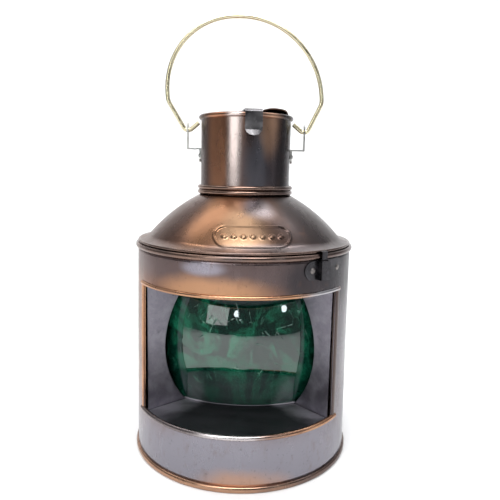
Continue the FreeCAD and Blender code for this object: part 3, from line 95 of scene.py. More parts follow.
LIP_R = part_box("roof_dome")[1][0]
LIP_FOOT = foot_of("roof_dome")
LIP_BEAD = 0.95 * MM
DOME_R = 118 * MM
DOME_TOP = top_of("roof_dome")
DOME_HOLE = 31.25 * MM
DOME_SPAN = 49.9
DOME_JOIN = 49.4
FLARE_WIDE = 7.6 * MM
FLARE_REACH = 2.6 * MM
FLARE_STEPS = 36
DOME_SIDE = LIP_R - FLARE_WIDE - DOME_R * math.sin(math.radians(DOME_SPAN))
DOME_Z = DOME_TOP - math.sqrt(DOME_R ** 2 - (DOME_HOLE - DOME_SIDE) ** 2)
BADGE_TURN = 5.5
BADGE_REACH = 62.2 * MM
BADGE_HALF = 24.4 * MM
BADGE_SPAN = 30.0
BADGE_TALL = 9.0 * MM
BADGE_RIM = 0.9 * MM
BADGE_RELIEF = 0.9 * MM
STUD_COUNT = 7
STUD_PITCH = 5.8 * MM
STUD_R = 2.1 * MM

RIM_TOP = top_of("chimney_tube")
RIM_BEAD = 1.65 * MM
CHIMNEY_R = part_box("chimney_tube")[1][0] - RIM_BEAD
CHIMNEY_FOOT = foot_of("chimney_tube")
COLLAR_FOOT = foot_of("chimney_collar")
COLLAR_RISE = top_of("chimney_collar") - COLLAR_FOOT
LID_FOOT = foot_of("chimney_lid")
LID_R = 29.5 * MM
TONGUE_TURN = 9.0

WIRE = 1.5 * MM
PIVOT_Z = RIM_TOP - 10 * MM
BAIL_TOP = top_of("bail") - WIRE
BAIL_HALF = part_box("bail")[1][0] - WIRE
EAR_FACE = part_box("ear_right")[1][0]


def polar(azimuth, radius, height):
    """A point at an azimuth in degrees from the front, a distance from the axis and a height."""
    turn = math.radians(azimuth)
    return Vector((radius * math.sin(turn), -radius * math.cos(turn), height))


def smooth(amount, low, high):
    """0 at low and beyond it, 1 at high and beyond it, and a smooth change between them."""
    share = min(max((amount - low) / (high - low), 0.0), 1.0)
    return share * share * (3 - 2 * share)


# ---- node helpers ---------------------------------------------------------------------------

class Shader:
    """A material whose nodes are added one at a time."""

    def __init__(self, name):
        self.material = bpy.data.materials.new(name)
        self.material.use_nodes = True
        self.tree = self.material.node_tree
        self.surface = self.tree.nodes["Principled BSDF"]
        self.coordinates = self.tree.nodes.new("ShaderNodeTexCoord").outputs["Object"]
        self.clouds = self.noise(26.0, 4.0, 0.6, 0.4, (1, 1, 0.7), 4.0)

    def node(self, kind, inputs=None, **settings):
        """A new node with its settings, and each named input linked or set."""
        made = self.tree.nodes.new(kind)
        for name, setting in settings.items():
            setattr(made, name, setting)
        for name, source in (inputs or {}).items():
            self.feed(made.inputs[name], source)
        return made

    def feed(self, socket, source):
        """Link an output to a socket, or set the socket to a constant."""
        if isinstance(source, bpy.types.NodeSocket):
            self.tree.links.new(source, socket)
        else:
            socket.default_value = source

    def math(self, operation, first, second=0.0):
        return self.node("ShaderNodeMath", {0: first, 1: second}, operation=operation).outputs[0]

    def stretched(self, scale):
        """Object coordinates, scaled along each axis."""
        return self.node("ShaderNodeMapping", {"Vector": self.coordinates, "Scale": scale}).outputs[0]

    def noise(self, scale, detail=4.0, roughness=0.55, distortion=0.0, along=(1, 1, 1), seed=0.0):
        """Fractal noise of about 0 to 1, stretched along each axis; another seed gives another pattern."""
        made = self.node("ShaderNodeTexNoise", {
            "Vector": self.stretched(along), "W": seed, "Scale": scale, "Detail": detail,
            "Roughness": roughness, "Distortion": distortion}, noise_dimensions="4D")
        return made.outputs["Fac"]

    def ramp(self, source, low, high, start=0.0, stop=1.0):
        """The source between low and high, turned smoothly into start to stop."""
        made = self.node("ShaderNodeMapRange", {
            "Value": source, "From Min": low, "From Max": high, "To Min": start, "To Max": stop},
            interpolation_type="SMOOTHSTEP")
        return made.outputs["Result"]

    def blend(self, factor, first, second):
        """The first colour where the factor is 0 and the second where it is 1."""
        made = self.node("ShaderNodeMix", data_type="RGBA")
        self.feed(made.inputs["Factor"], factor)
        self.feed(made.inputs["A"], first)
        self.feed(made.inputs["B"], second)
        return made.outputs["Result"]

    def azimuth(self):
        """Degrees from the front about the lantern's axis, positive to the right."""
        parts = self.node("ShaderNodeSeparateXYZ", {"Vector": self.coordinates}).outputs
        turn = self.math("ARCTAN2", parts["X"], self.math("MULTIPLY", parts["Y"], -1.0))
        return self.math("MULTIPLY", turn, 180 / math.pi)

    def height(self):
        """Height above the floor."""
        return self.node("ShaderNodeSeparateXYZ", {"Vector": self.coordinates}).outputs["Z"]

    def patch(self, turn, reach, level, rise, ragged=0.3, soft=1.1):
        """1 inside an oval given by azimuth and height and half of each, falling to 0 over a ragged edge."""
        side = self.math("DIVIDE", self.math("SUBTRACT", self.azimuth(), turn), reach)
        tall = self.math("DIVIDE", self.math("SUBTRACT", self.height(), level), rise)
        apart = self.math("SQRT", self.math("ADD", self.math("MULTIPLY", side, side),
                                            self.math("MULTIPLY", tall, tall)))
        wander = self.math("MULTIPLY", self.math("SUBTRACT", self.clouds, 0.5), ragged * 4)
        return self.ramp(self.math("ADD", apart, wander), 1.0 - soft / 2, 1.0 + soft / 2, 1.0, 0.0)

    def bump(self, source, distance, before=None):
        """A normal raised by the source, on top of an earlier normal where one is given."""
        inputs = {"Height": source, "Distance": distance, "Strength": 1.0}
        if before is not None:
            inputs["Normal"] = before
        return self.node("ShaderNodeBump", inputs).outputs["Normal"]

    def finish(self, **sockets):
        """Feed the surface's sockets, each named with _ for its spaces, and give the material back."""
        for name, source in sockets.items():
            self.feed(self.surface.inputs[name.replace("_", " ")], source)
        return self.material


def rgb(red, green, blue):
    return (red, green, blue, 1.0)


FINE_GRAIN = 0.04 * MM
SHEET_WAVE = 0.7 * MM


def dented(shader, grain=FINE_GRAIN, wave=SHEET_WAVE, scale=16.0, seed=0.0):
    """Fine rolling grain over the slow waves of hand-worked sheet."""
    slow = shader.noise(scale, 2.0, 0.4, 0.2, seed=seed)
    fine = shader.noise(420.0, 3.0, 0.6, 0.0, (1, 1, 0.25), seed + 2.0)
    first = shader.bump(slow, wave)
    return shader.bump(fine, grain, first)


# ---- materials ------------------------------------------------------------------------------

COPPER = rgb(0.55, 0.30, 0.17)
BROWN = rgb(0.17, 0.095, 0.07)
RUST = rgb(0.28, 0.14, 0.09)
MAUVE = rgb(0.27, 0.26, 0.295)
UMBER = rgb(0.10, 0.075, 0.07)
CHARCOAL = rgb(0.05, 0.047, 0.052)
# pale tint of a painted highlight
PAINTED_HIGHLIGHT_PALE = rgb(0.60, 0.51, 0.48)


def patina(name, seed, ground, second, patches, shine=0.27):
    """Antique copper: soft clouds of two colours, then patches of other tints, then fine flecks.

    A patch is (azimuth, half its width in degrees, height, half its rise, tint, strength, added roughness).
    """
    s = Shader(name)
    colour = s.blend(s.ramp(s.clouds, 0.35, 0.65), ground, second)
    rough = s.ramp(s.noise(60.0, 5.0, 0.6, 0.2, (1, 1, 0.4), seed + 3), 0.3, 0.7, shine - 0.05, shine + 0.08)
    for turn, reach, level, rise, tint, strength, duller in patches:
        mask = s.math("MULTIPLY", s.patch(turn, reach, level, rise), strength)
        colour = s.blend(mask, colour, tint)
        rough = s.math("ADD", rough, s.math("MULTIPLY", mask, duller))
    flecks = s.noise(170.0, 5.0, 0.65, 0.3, (1, 1, 0.6), seed + 1)
    colour = s.blend(s.ramp(flecks, 0.52, 0.78, 0.0, 0.35), colour, BROWN)
    specks = s.noise(520.0, 3.0, 0.6, 0.0, (1, 1, 1), seed + 5)
    colour = s.blend(s.ramp(specks, 0.60, 0.72, 0.0, 0.35), colour, CHARCOAL)
    return s.finish(Base_Color=colour, Metallic=1.0, Roughness=rough, Normal=dented(s, seed=seed))


def shell_patina_and_painted_light():
    """Body: mauve-grey under the window; in the top band a painted dark reflection along its top, a bright
    copper patch of painted reflection in its middle and a thin painted highlight streak; painted shade at the
    right.
    """
    return patina("BodyPatinaAndPaintedLight", 1.0, RUST, BROWN, [
        # painted shade: the right side of the body is darkened
        (95, 66, 0.09, 0.30, rgb(0.145, 0.135, 0.15), 1.0, 0.0),
        (-5, 105, 0.012, 0.034, MAUVE, 1.0, 0.02),
        (2, 20, 0.004, 0.009, rgb(0.50, 0.30, 0.21), 0.85, 0.03),
        # painted dark reflection along the top of the top band
        (-10, 75, 0.140, 0.012, rgb(0.15, 0.115, 0.115), 0.9, 0.0),
        # painted reflection: a bright copper glow in the lower middle of the top band
        (-15, 25, 0.1265, 0.0085, COPPER, 0.95, 0.10),
        # painted highlight: a thin pale streak high in the top band
        (-18, 9, 0.141, 0.004, rgb(0.40, 0.38, 0.44), 0.8, 0.0),
        # painted shade at the right of the top band, here and in the next line
        (64, 40, 0.136, 0.024, CHARCOAL, 1.0, 0.03),
        (30, 10, 0.132, 0.012, CHARCOAL, 0.6, 0.03),
    ])


def roof_patina_and_painted_light():
    """Roof: orange brown in the middle and left of it, partly copper tone and partly painted highlight;
    painted shade at the left shoulder and at the right.
    """
    return patina("RoofPatinaAndPaintedLight", 7.0, rgb(0.18, 0.095, 0.06), BROWN, [
        # orange and golden copper, partly the copper's tone and partly painted highlight, here and in the
        # next line
        (-24, 16, 0.168, 0.018, rgb(0.30, 0.15, 0.08), 0.9, 0.02),
        (0, 13, 0.160, 0.017, rgb(0.42, 0.26, 0.155), 0.9, 0.02),
        # painted shade at the left shoulder
        (-58, 20, 0.168, 0.024, rgb(0.12, 0.07, 0.055), 0.85, 0.0),
        # painted shade at the right
        (56, 38, 0.165, 0.030, rgb(0.065, 0.053, 0.053), 0.95, 0.0),
        (125, 40, 0.165, 0.030, UMBER, 0.8, 0.0),
        (12, 12, 0.176, 0.006, rgb(0.27, 0.24, 0.25), 0.8, 0.0),
        (14, 30, 0.1515, 0.003, rgb(0.26, 0.22, 0.22), 0.8, 0.0),
    ])


def chimney_patina_and_painted_light():
    """Chimney: orange brown, a painted highlight streak left of the middle, a bright copper patch at the
    upper right that is partly painted highlight, grey at the right, and painted shade at the right and down
    the left edge.
    """
    return patina("ChimneyPatinaAndPaintedLight", 3.0, rgb(0.20, 0.115, 0.085), rgb(0.15, 0.095, 0.08), [
        (-36, 16, 0.212, 0.034, rgb(0.44, 0.21, 0.12), 0.9, 0.0),
        # painted highlight: the pale streak left of the middle
        (-14, 8, 0.215, 0.050, PAINTED_HIGHLIGHT_PALE, 0.95, -0.05),
        (16, 18, 0.198, 0.026, rgb(0.15, 0.15, 0.175), 0.9, 0.02),
        # bright copper, partly the copper's tone and partly painted highlight
        (34, 13, 0.222, 0.016, rgb(0.50, 0.30, 0.20), 0.9, 0.03),
        # painted shade down the right side, here and in the next line
        (44, 20, 0.196, 0.022, rgb(0.065, 0.058, 0.066), 0.9, 0.0),
        (68, 26, 0.208, 0.060, rgb(0.04, 0.035, 0.038), 1.0, 0.0),
        # painted shade down the left edge, by the ear
        (-75, 20, 0.205, 0.060, UMBER, 0.9, 0.0),
    ])


def rim_copper(name, seed, patches):
    """Beads and hems: bright copper worn through to grey and dark tints, with a painted highlight on the sill
    and painted shade on the right jamb where their patches give them.
    """
    return patina(name, seed, COPPER, rgb(0.40, 0.22, 0.14), patches, 0.24)


def strip(name, seed, base, worn, shine=0.3, grain=FINE_GRAIN):
    """Plated strip or wire with small worn flecks."""
    s = Shader(name)
    flecks = s.noise(380.0, 4.0, 0.6, 0.0, (1, 1, 1), seed)
    broad = s.noise(60.0, 3.0, 0.5, 0.3, (1, 1, 1), seed + 1)
    colour = s.blend(s.ramp(flecks, 0.5, 0.75, 0.0, 0.7), base, worn)
    colour = s.blend(s.ramp(broad, 0.4, 0.7, 0.0, 0.4), colour, worn)
    rough = s.ramp(broad, 0.3, 0.7, shine - 0.05, shine + 0.12)
    return s.finish(Base_Color=colour, Metallic=1.0, Roughness=rough,
                    Normal=dented(s, grain, 0.3 * MM, 60.0, seed))


def panel_sheet():
    """Mauve-grey panel with soft mottling and dark spots near its top."""
    s = Shader("PanelSheet")
    mottle = s.noise(75.0, 6.0, 0.65, 0.5, (1, 1, 1), 5.0)
    colour = s.blend(s.ramp(mottle, 0.35, 0.68), rgb(0.25, 0.235, 0.275), rgb(0.40, 0.38, 0.43))
    spots = s.noise(120.0, 4.0, 0.6, 0.5, (1, 1, 1), 9.0)
    upper = s.ramp(s.height(), 0.070, 0.120, 0.1, 0.7)
    colour = s.blend(s.math("MULTIPLY", s.ramp(spots, 0.58, 0.68), upper), colour, rgb(0.06, 0.055, 0.065))
    rough = s.ramp(mottle, 0.3, 0.7, 0.36, 0.5)
    return s.finish(Base_Color=colour, Metallic=1.0, Roughness=rough,
                    Normal=dented(s, 0.08 * MM, 0.5 * MM, 30.0, 4.0))


def shelf_sheet():
    """Rubbed grey shelf with a painted dark reflection in its middle."""
    s = Shader("ShelfSheet")
    rub = s.noise(90.0, 5.0, 0.65, 0.3, (0.35, 1, 1), 2.0)
    colour = s.blend(s.ramp(rub, 0.35, 0.7), rgb(0.34, 0.33, 0.36), rgb(0.50, 0.49, 0.53))
    # painted dark reflection in the middle of the shelf
    middle = s.patch(WINDOW_TURN, 47, SHELF_TOP, 0.05, 0.15, 0.3)
    colour = s.blend(middle, colour, rgb(0.085, 0.085, 0.095))
    rough = s.ramp(rub, 0.3, 0.7, 0.40, 0.55)
    return s.finish(Base_Color=colour, Metallic=1.0, Roughness=rough,
                    Normal=dented(s, FINE_GRAIN, 0.5 * MM, 26.0, 6.0))


def bottle_glass():
    """Deep green pressed glass with brighter streaks in it, partly the glass's own and partly painted
    highlight that grows towards the top, fine scratches and a wavy face.
    """
    s = Shader("BottleGlass")
    lines = s.node("ShaderNodeTexVoronoi", {"Vector": s.stretched((1, 1, 0.5)), "Scale": 125.0},
                   feature="DISTANCE_TO_EDGE").outputs["Distance"]
    gate = s.ramp(s.noise(130.0, 3.0, 0.6, 0.0, (1, 1, 1), 3.0), 0.50, 0.60)
    mark = s.math("MULTIPLY", s.ramp(lines, 0.0, 0.04, 1.0, 0.0), gate)
    streaks_and_painted_highlight = s.noise(42.0, 5.0, 0.68, 1.2, (1, 1, 0.8), 11.0)
    # painted highlight: the brighter green grows towards the top
    upper = s.ramp(s.height(), 0.050, 0.085, 0.35, 1.0)
    colour = s.blend(s.math("MULTIPLY", s.ramp(streaks_and_painted_highlight, 0.46, 0.62), upper), rgb(0.004, 0.048, 0.032),
                     rgb(0.022, 0.36, 0.19))
    colour = s.blend(s.math("MULTIPLY", mark, 0.5), colour, rgb(0.12, 0.50, 0.32))
    rough = s.ramp(mark, 0.0, 1.0, 0.04, 0.26)
    wave = s.noise(34.0, 2.0, 0.4, 0.3, (1, 1, 1), 8.0)
    normal = s.bump(mark, 0.06 * MM, s.bump(wave, 0.5 * MM))
    return s.finish(Base_Color=colour, Metallic=0.0, Roughness=rough, Normal=normal,
                    Transmission_Weight=0.5, IOR=1.9)


def cotton():
    """Woven cotton wick."""
    s = Shader("WickCotton")
    weave = s.node("ShaderNodeTexWave", {"Vector": s.coordinates, "Scale": 500.0, "Distortion": 1.5},
                   bands_direction="DIAGONAL").outputs["Fac"]
    colour = s.blend(s.ramp(weave, 0.2, 0.8), rgb(0.62, 0.58, 0.48), rgb(0.86, 0.83, 0.74))
    return s.finish(Base_Color=colour, Roughness=0.9, Normal=s.bump(weave, 0.2 * MM))


# ---- mesh helpers ---------------------------------------------------------------------------

def mesh_object(name, points, faces, material, body, crease=35.0, outward=True):
    """A mesh piece on a body, smooth except at edges sharper than the crease angle in degrees."""
    mesh = bpy.data.meshes.new(name)
    mesh.from_pydata([tuple(point) for point in points], [], faces)
    mesh.validate()
    mesh.materials.append(material)
    mesh.shade_smooth()
    piece = bpy.data.objects.new(name, mesh)
    bpy.context.scene.collection.objects.link(piece)
    tidy = bmesh.new()
    tidy.from_mesh(mesh)
    if outward:
        bmesh.ops.recalc_face_normals(tidy, faces=tidy.faces)
    tidy.to_mesh(mesh)
    tidy.free()
    mesh.set_sharp_from_angle(angle=math.radians(crease))
    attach(piece, body)
    return piece


def loft(name, rings, material, body, closed_rings=True, closed_run=False, crease=35.0):
    """Skin a run of rings of points; open runs get a face at each end when their rings are closed."""
    wide = len(rings[0])
    points = [point for ring in rings for point in ring]
    faces = []
    spans = len(rings) if closed_run else len(rings) - 1
    steps = wide if closed_rings else wide - 1
    for run in range(spans):
        near = run * wide
        far = ((run + 1) % len(rings)) * wide
        for step in range(steps):
            after = (step + 1) % wide
            faces.append((near + step, near + after, far + after, far + step))
    if closed_rings and not closed_run:
        faces.append(tuple(reversed(range(wide))))
        faces.append(tuple(range((len(rings) - 1) * wide, len(rings) * wide)))
    return mesh_object(name, points, faces, material, body, crease)


def lathe(name, profile, material, body, start=0.0, stop=360.0, steps=240, crease=35.0, wobble=None):
    """Turn a closed profile of (radius, height) about the axis between two azimuths."""
    full = abs(stop - start - 360.0) < 1e-6
    count = steps if full else steps + 1
    rings = []
    for index in range(count):
        azimuth = start + (stop - start) * index / steps
        ring = []
        for radius, height in profile:
            point = polar(azimuth, radius, height)
            if wobble:
                point += wobble(point)
            ring.append(point)
        rings.append(ring)
    return loft(name, rings, material, body, True, full, crease)


def arc_points(centre, radius, start, stop, steps):
    """Points of an arc in a profile, from one angle in degrees to another, both ends included."""
    made = []
    for index in range(steps + 1):
        angle = math.radians(start + (stop - start) * index / steps)
        made.append((centre[0] + radius * math.cos(angle), centre[1] + radius * math.sin(angle)))
    return made


def handmade(amount, scale, seed=0.0):
    """A small radial wave, as hand-rolled sheet has."""
    def wave(point):
        outward = Vector((point.x, point.y, 0)).normalized()
        place = Vector((point.x * scale, point.y * scale, point.z * scale + seed))
        return outward * noise.noise(place) * amount
    return wave


def swept_wire(name, path, radius, material, body, sides, side):
    """A round wire along a path of points, with closed ends; the side vector is never along the path."""
    rings = []
    for index, point in enumerate(path):
        ahead = path[min(index + 1, len(path) - 1)]
        behind = path[max(index - 1, 0)]
        tangent = (ahead - behind).normalized()
        across = (side - tangent * side.dot(tangent)).normalized()
        other = tangent.cross(across)
        rings.append([point + (across * math.cos(turn) + other * math.sin(turn)) * radius
                      for turn in (2 * math.pi * step / sides for step in range(sides))])
    return loft(name, rings, material, body)


def rounded(corners, radii, steps):
    """Points along straight runs through corners, with an arc at each inner corner."""
    made = [corners[0]]
    for before, corner, after, radius in zip(corners, corners[1:], corners[2:], radii):
        arrive = (corner - before).normalized()
        leave = (after - corner).normalized()
        turn = arrive.angle(leave)
        trim_length = radius * math.tan(turn / 2)
        start = corner - arrive * trim_length
        inward = (leave - arrive).normalized()
        centre = corner + inward * (radius / math.cos(turn / 2))
        axis = arrive.cross(leave).normalized()
        for index in range(steps + 1):
            made.append(centre + Matrix.Rotation(turn * index / steps, 3, axis) @ (start - centre))
    made.append(corners[-1])
    return made


# ---- materials by name ----------------------------------------------------------------------

MATERIALS = {
    "shell": shell_patina_and_painted_light(),
    "roof": roof_patina_and_painted_light(),
    "chimney": chimney_patina_and_painted_light(),
    "edge": rim_copper("EdgeCopper", 4.0, [
        (46, 14, WINDOW_HEAD, 0.01, rgb(0.45, 0.44, 0.46), 1.0, 0.0),
        (100, 40, 0.075, 0.3, BROWN, 0.8, 0.0),
    ]),
    "sill": rim_copper("SillMetal", 44.0, [
        (-30, 48, WINDOW_SILL, 0.02, rgb(0.20, 0.17, 0.17), 1.0, 0.0),
        # painted highlight: a whitish patch in the middle of the sill bead
        (-4, 14, WINDOW_SILL, 0.01, rgb(0.62, 0.58, 0.58), 0.9, 0.0),
    ]),
    "hem": patina("HemMetal", 14.0, rgb(0.24, 0.155, 0.12), rgb(0.15, 0.11, 0.10), [
        (-24, 46, 0.001, 0.008, rgb(0.48, 0.28, 0.18), 0.9, 0.0),
        (100, 60, 0.075, 0.3, UMBER, 0.8, 0.0),
    ], 0.22),
    "collar": patina("CollarCopper", 34.0, rgb(0.30, 0.19, 0.14), rgb(0.19, 0.13, 0.11), [
        (70, 45, 0.185, 0.02, UMBER, 0.9, 0.0),
        (150, 60, 0.185, 0.02, BROWN, 0.7, 0.0),
    ], 0.22),
    # painted shade: the right jamb is darkened, unlike the bright left one
    "right_jamb": rim_copper("RightJambPaintedShade", 24.0, [(55, 25, 0.08, 0.2, CHARCOAL, 0.9, 0.06)]),
    "panel": panel_sheet(),
    "shelf": shelf_sheet(),
    "glass": bottle_glass(),
    "dark": strip("DarkStrip", 2.0, rgb(0.05, 0.048, 0.052), rgb(0.14, 0.135, 0.145), 0.24),
    "tongue": strip("TongueSteel", 22.0, rgb(0.11, 0.105, 0.11), rgb(0.36, 0.35, 0.36), 0.26),
    "nickel": strip("NickelStrip", 6.0, rgb(0.66, 0.66, 0.63), rgb(0.42, 0.40, 0.37)),
    "steel": strip("SteelWire", 8.0, rgb(0.32, 0.32, 0.33), rgb(0.20, 0.19, 0.19)),
    "brass_wire": strip("BrassWire", 10.0, rgb(0.74, 0.67, 0.46), rgb(0.62, 0.56, 0.39), 0.22, 0.008 * MM),
    "rivet": strip("AgedRivet", 12.0, rgb(0.25, 0.23, 0.22), rgb(0.12, 0.11, 0.11)),
    "brass": strip("FontBrass", 16.0, rgb(0.66, 0.48, 0.22), rgb(0.40, 0.28, 0.13), 0.28),
    "cotton": cotton(),
}


# ---- body -----------------------------------------------------------------------------------

HEM_STEPS = 14
HEM_FULLNESS = 0.8
BEAD_STEPS = 17
BEAD_STOP = 340
JAMB_ROWS = 44
JAMB_STEPS = 8
JAMB_GRIP = 0.5 * MM
JAMB_SWELL = 0.45 * MM
JAMB_FULLNESS = 0.6
JAMB_SUNK = 0.3 * MM
SHELF_LIP_R = 0.6 * MM
SHELF_LIP_RISE = 0.55 * MM
SHELF_LIP_HALF = 27
SHELF_LIP_STEPS = 60
SHELF_LIP_DEPTH = 42 * MM
SHELF_LIP_GAP = 0.75 * MM

roll_marks = handmade(0.35 * MM, 11.0)


def hand_rolled(point):
    """Roll marks on a body that spreads slightly towards its base."""
    outward = Vector((point.x, point.y, 0)).normalized()
    return roll_marks(point) + outward * BASE_SPREAD * (1 - point.z / BODY_TOP)


def spread(low, high, step):
    """Even steps of about the given size from low to high, without high itself."""
    count = max(1, round(abs(high - low) / step))
    return [low + (high - low) * index / count for index in range(count)]


def turned_sheet(name, azimuths, rows, material, body, wobble, lift=None, open_at=None):
    """A sheet over azimuths and (radius, height) rows, its thickness on the inside.

    wobble and lift give a shift of each point, and open_at says where the sheet is cut away.
    """
    points = []
    for azimuth in azimuths:
        for index, (radius, height) in enumerate(rows):
            point = polar(azimuth, radius, height)
            point += wobble(point)
            if lift:
                point += lift(azimuth, index)
            points.append(point)
    faces = []
    tall = len(rows)
    for turn in range(len(azimuths)):
        after = (turn + 1) % len(azimuths)
        middle = (azimuths[turn] + (azimuths[after] if after else azimuths[0] + 360)) / 2
        here = turn * tall
        beside = after * tall
        for row in range(tall - 1):
            if open_at and open_at(middle, (rows[row][1] + rows[row + 1][1]) / 2):
                continue
            faces.append((here + row, beside + row, beside + row + 1, here + row + 1))
    piece = mesh_object(name, points, faces, material, body, outward=False)
    loose = bmesh.new()
    loose.from_mesh(piece.data)
    bmesh.ops.delete(loose, geom=[vertex for vertex in loose.verts if not vertex.link_faces], context="VERTS")
    loose.to_mesh(piece.data)
    loose.free()
    gauge = piece.modifiers.new("Gauge", "SOLIDIFY")
    gauge.thickness = SHEET
    gauge.offset = -1
    return piece


def in_window(azimuth, height):
    return WINDOW_LEFT < azimuth < WINDOW_RIGHT and WINDOW_SILL < height < WINDOW_HEAD


def body_wall():
    """Wall between the hems, with the window cut out of its front."""
    azimuths = spread(WINDOW_LEFT, WINDOW_RIGHT, 1.0) + spread(WINDOW_RIGHT, WINDOW_LEFT + 360, 2.0)
    high = BODY_TOP - TOP_HEM
    heights = spread(BOTTOM_HEM, WINDOW_SILL, 2 * MM) + spread(WINDOW_SILL, WINDOW_HEAD, 4 * MM)
    heights += spread(WINDOW_HEAD, high, 2 * MM) + [high]
    rows = [(BODY_R, height) for height in heights]
    return turned_sheet("body_wall", azimuths, rows, MATERIALS["shell"], "lower_body", hand_rolled,
                        open_at=in_window)


def hem(name, foot, rise):
    """Rolled hem: a bulged outside and a flat inside."""
    half = rise / 2
    profile = []
    for step in range(HEM_STEPS + 1):
        angle = math.radians(-90 + 180 * step / HEM_STEPS)
        bulge = HEM_BULGE * math.cos(angle) ** HEM_FULLNESS
        profile.append((BODY_R + bulge, foot + half + half * math.sin(angle)))
    profile += [(BODY_R - HEM_TUCK, foot + rise), (BODY_R - HEM_TUCK, foot)]
    return lathe(name, profile, MATERIALS["hem"], "lower_body", steps=300, crease=50.0, wobble=hand_rolled)


def window_trim():
    """Beads along the window's head and sill, and a folded strip down each side."""
    pieces = []
    left_end = WINDOW_LEFT - LEFT_JAMB
    right_end = WINDOW_RIGHT + RIGHT_JAMB
    for name, radius, height, finish in (("head_bead", HEAD_BEAD, WINDOW_HEAD, "edge"),
                                         ("sill_bead", SILL_BEAD, WINDOW_SILL, "sill")):
        circle = arc_points((BEAD_R, height), radius, 0, BEAD_STOP, BEAD_STEPS)
        pieces.append(lathe(name, circle, MATERIALS[finish], "lower_body", left_end, right_end, 160,
                            wobble=hand_rolled))
    inside = BODY_R - SHEET - JAMB_GRIP
    outside = BODY_R + JAMB_GRIP
    for name, start, stop, finish in (("left_jamb", left_end, WINDOW_LEFT, "edge"),
                                      ("right_jamb", WINDOW_RIGHT, right_end, "right_jamb")):
        rings = []
        for index in range(JAMB_ROWS + 1):
            height = WINDOW_SILL + (WINDOW_HEAD - WINDOW_SILL) * index / JAMB_ROWS
            ring = [polar(azimuth, inside, height) for azimuth in (start, stop)]
            for step in range(JAMB_STEPS + 1):
                share = step / JAMB_STEPS
                swell = JAMB_SWELL * math.sin(math.pi * share) ** JAMB_FULLNESS
                azimuth = stop + (start - stop) * share
                ring.append(polar(azimuth, outside + swell - JAMB_SUNK, height))
            rings.append([point + hand_rolled(point) for point in ring])
        pieces.append(loft(name, rings, MATERIALS[finish], "lower_body", crease=50.0))
    return pieces


def shelf_lip():
    """Folded lip of the shelf along the foot of the glass."""
    radius = math.sqrt(GLASS_R ** 2 - SHELF_LIP_DEPTH ** 2) + SHELF_LIP_GAP
    level = SHELF_TOP + SHELF_LIP_RISE
    window_turn = Matrix.Rotation(math.radians(WINDOW_TURN), 3, "Z")
    path = []
    for index in range(SHELF_LIP_STEPS + 1):
        turn = math.radians(-SHELF_LIP_HALF + 2 * SHELF_LIP_HALF * index / SHELF_LIP_STEPS)
        point = Vector((radius * math.sin(turn), GLASS_Y - radius * math.cos(turn), level))
        path.append(window_turn @ point)
    return swept_wire("shelf_lip", path, SHELF_LIP_R, MATERIALS["shelf"], "lower_body", 12, Vector((0, 0, 1)))


shell_pieces = [body_wall(), hem("bottom_hem", 0.0, BOTTOM_HEM), hem("top_hem", BODY_TOP - TOP_HEM, TOP_HEM)]
shell_pieces += window_trim()
for shell_piece in shell_pieces:
    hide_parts("body_shell")
shelf_lip()


# ---- roof -----------------------------------------------------------------------------------

LIP_SAG = 0.6 * MM
dome_wave = handmade(0.3 * MM, 10.0, 3.0)


def dome_rows():
    """The dome's outer line as (radius, height) rows from the lip up, close together at the badge."""
    top = math.degrees(math.asin((DOME_HOLE - DOME_SIDE) / DOME_R))
    badge_end = math.degrees(math.asin((BADGE_REACH - DOME_SIDE) / DOME_R) - (BADGE_TALL + 2 * MM) / DOME_R)
    angles = [math.radians(angle) for angle in
              spread(DOME_JOIN, badge_end, 0.18) + spread(badge_end, top, 1.0) + [top]]
    arc = [(DOME_SIDE + DOME_R * math.sin(angle), DOME_Z + DOME_R * math.cos(angle)) for angle in angles]
    start = Vector((LIP_R - LIP_BEAD, LIP_FOOT + 0.1 * MM))
    end = Vector(arc[0])
    steep = math.radians(DOME_JOIN)
    bend = end + Vector((math.cos(steep), -math.sin(steep))) * FLARE_REACH
    flare = []
    for index in range(FLARE_STEPS):
        share = index / FLARE_STEPS
        flare.append(tuple(start * (1 - share) ** 2 + bend * 2 * share * (1 - share) + end * share ** 2))
    return flare + arc


def dome():
    """Domed roof with a flared foot and a raised badge: a plain border round a row of studs."""
    rows = dome_rows()
    runs = [0.0]
    for before, after in zip(rows, rows[1:]):
        runs.append(runs[-1] + math.dist(before, after))
    middle = min(zip(rows, runs), key=lambda pair: abs(pair[0][0] - BADGE_REACH))[1]
    azimuths = (spread(BADGE_TURN - BADGE_SPAN, BADGE_TURN + BADGE_SPAN, 0.42)
                + spread(BADGE_TURN + BADGE_SPAN, BADGE_TURN - BADGE_SPAN + 360, 2.5))
    straight = BADGE_HALF - BADGE_TALL

    def lift(azimuth, row):
        turn = math.radians(azimuth - BADGE_TURN)
        along = runs[row] - middle
        if math.cos(turn) < 0.5 or abs(along) > BADGE_TALL * 1.3:
            return Vector((0, 0, 0))
        across = rows[row][0] * math.sin(turn)
        ring = abs(math.hypot(max(abs(across) - straight, 0.0), along) - (BADGE_TALL - BADGE_RIM))
        rise = 1 - smooth(ring, BADGE_RIM * 0.35, BADGE_RIM * 1.25)
        for stud in range(STUD_COUNT):
            centre = (stud - (STUD_COUNT - 1) / 2) * STUD_PITCH
            rise = max(rise, 1 - smooth(math.hypot(across - centre, along), STUD_R * 0.35, STUD_R * 1.1))
        before, after = rows[max(row - 1, 0)], rows[min(row + 1, len(rows) - 1)]
        square = Vector((after[1] - before[1], before[0] - after[0])).normalized()
        return polar(azimuth, square.x, square.y) * rise * BADGE_RELIEF

    return turned_sheet("dome", azimuths, rows, MATERIALS["roof"], "roof", dome_wave, lift)


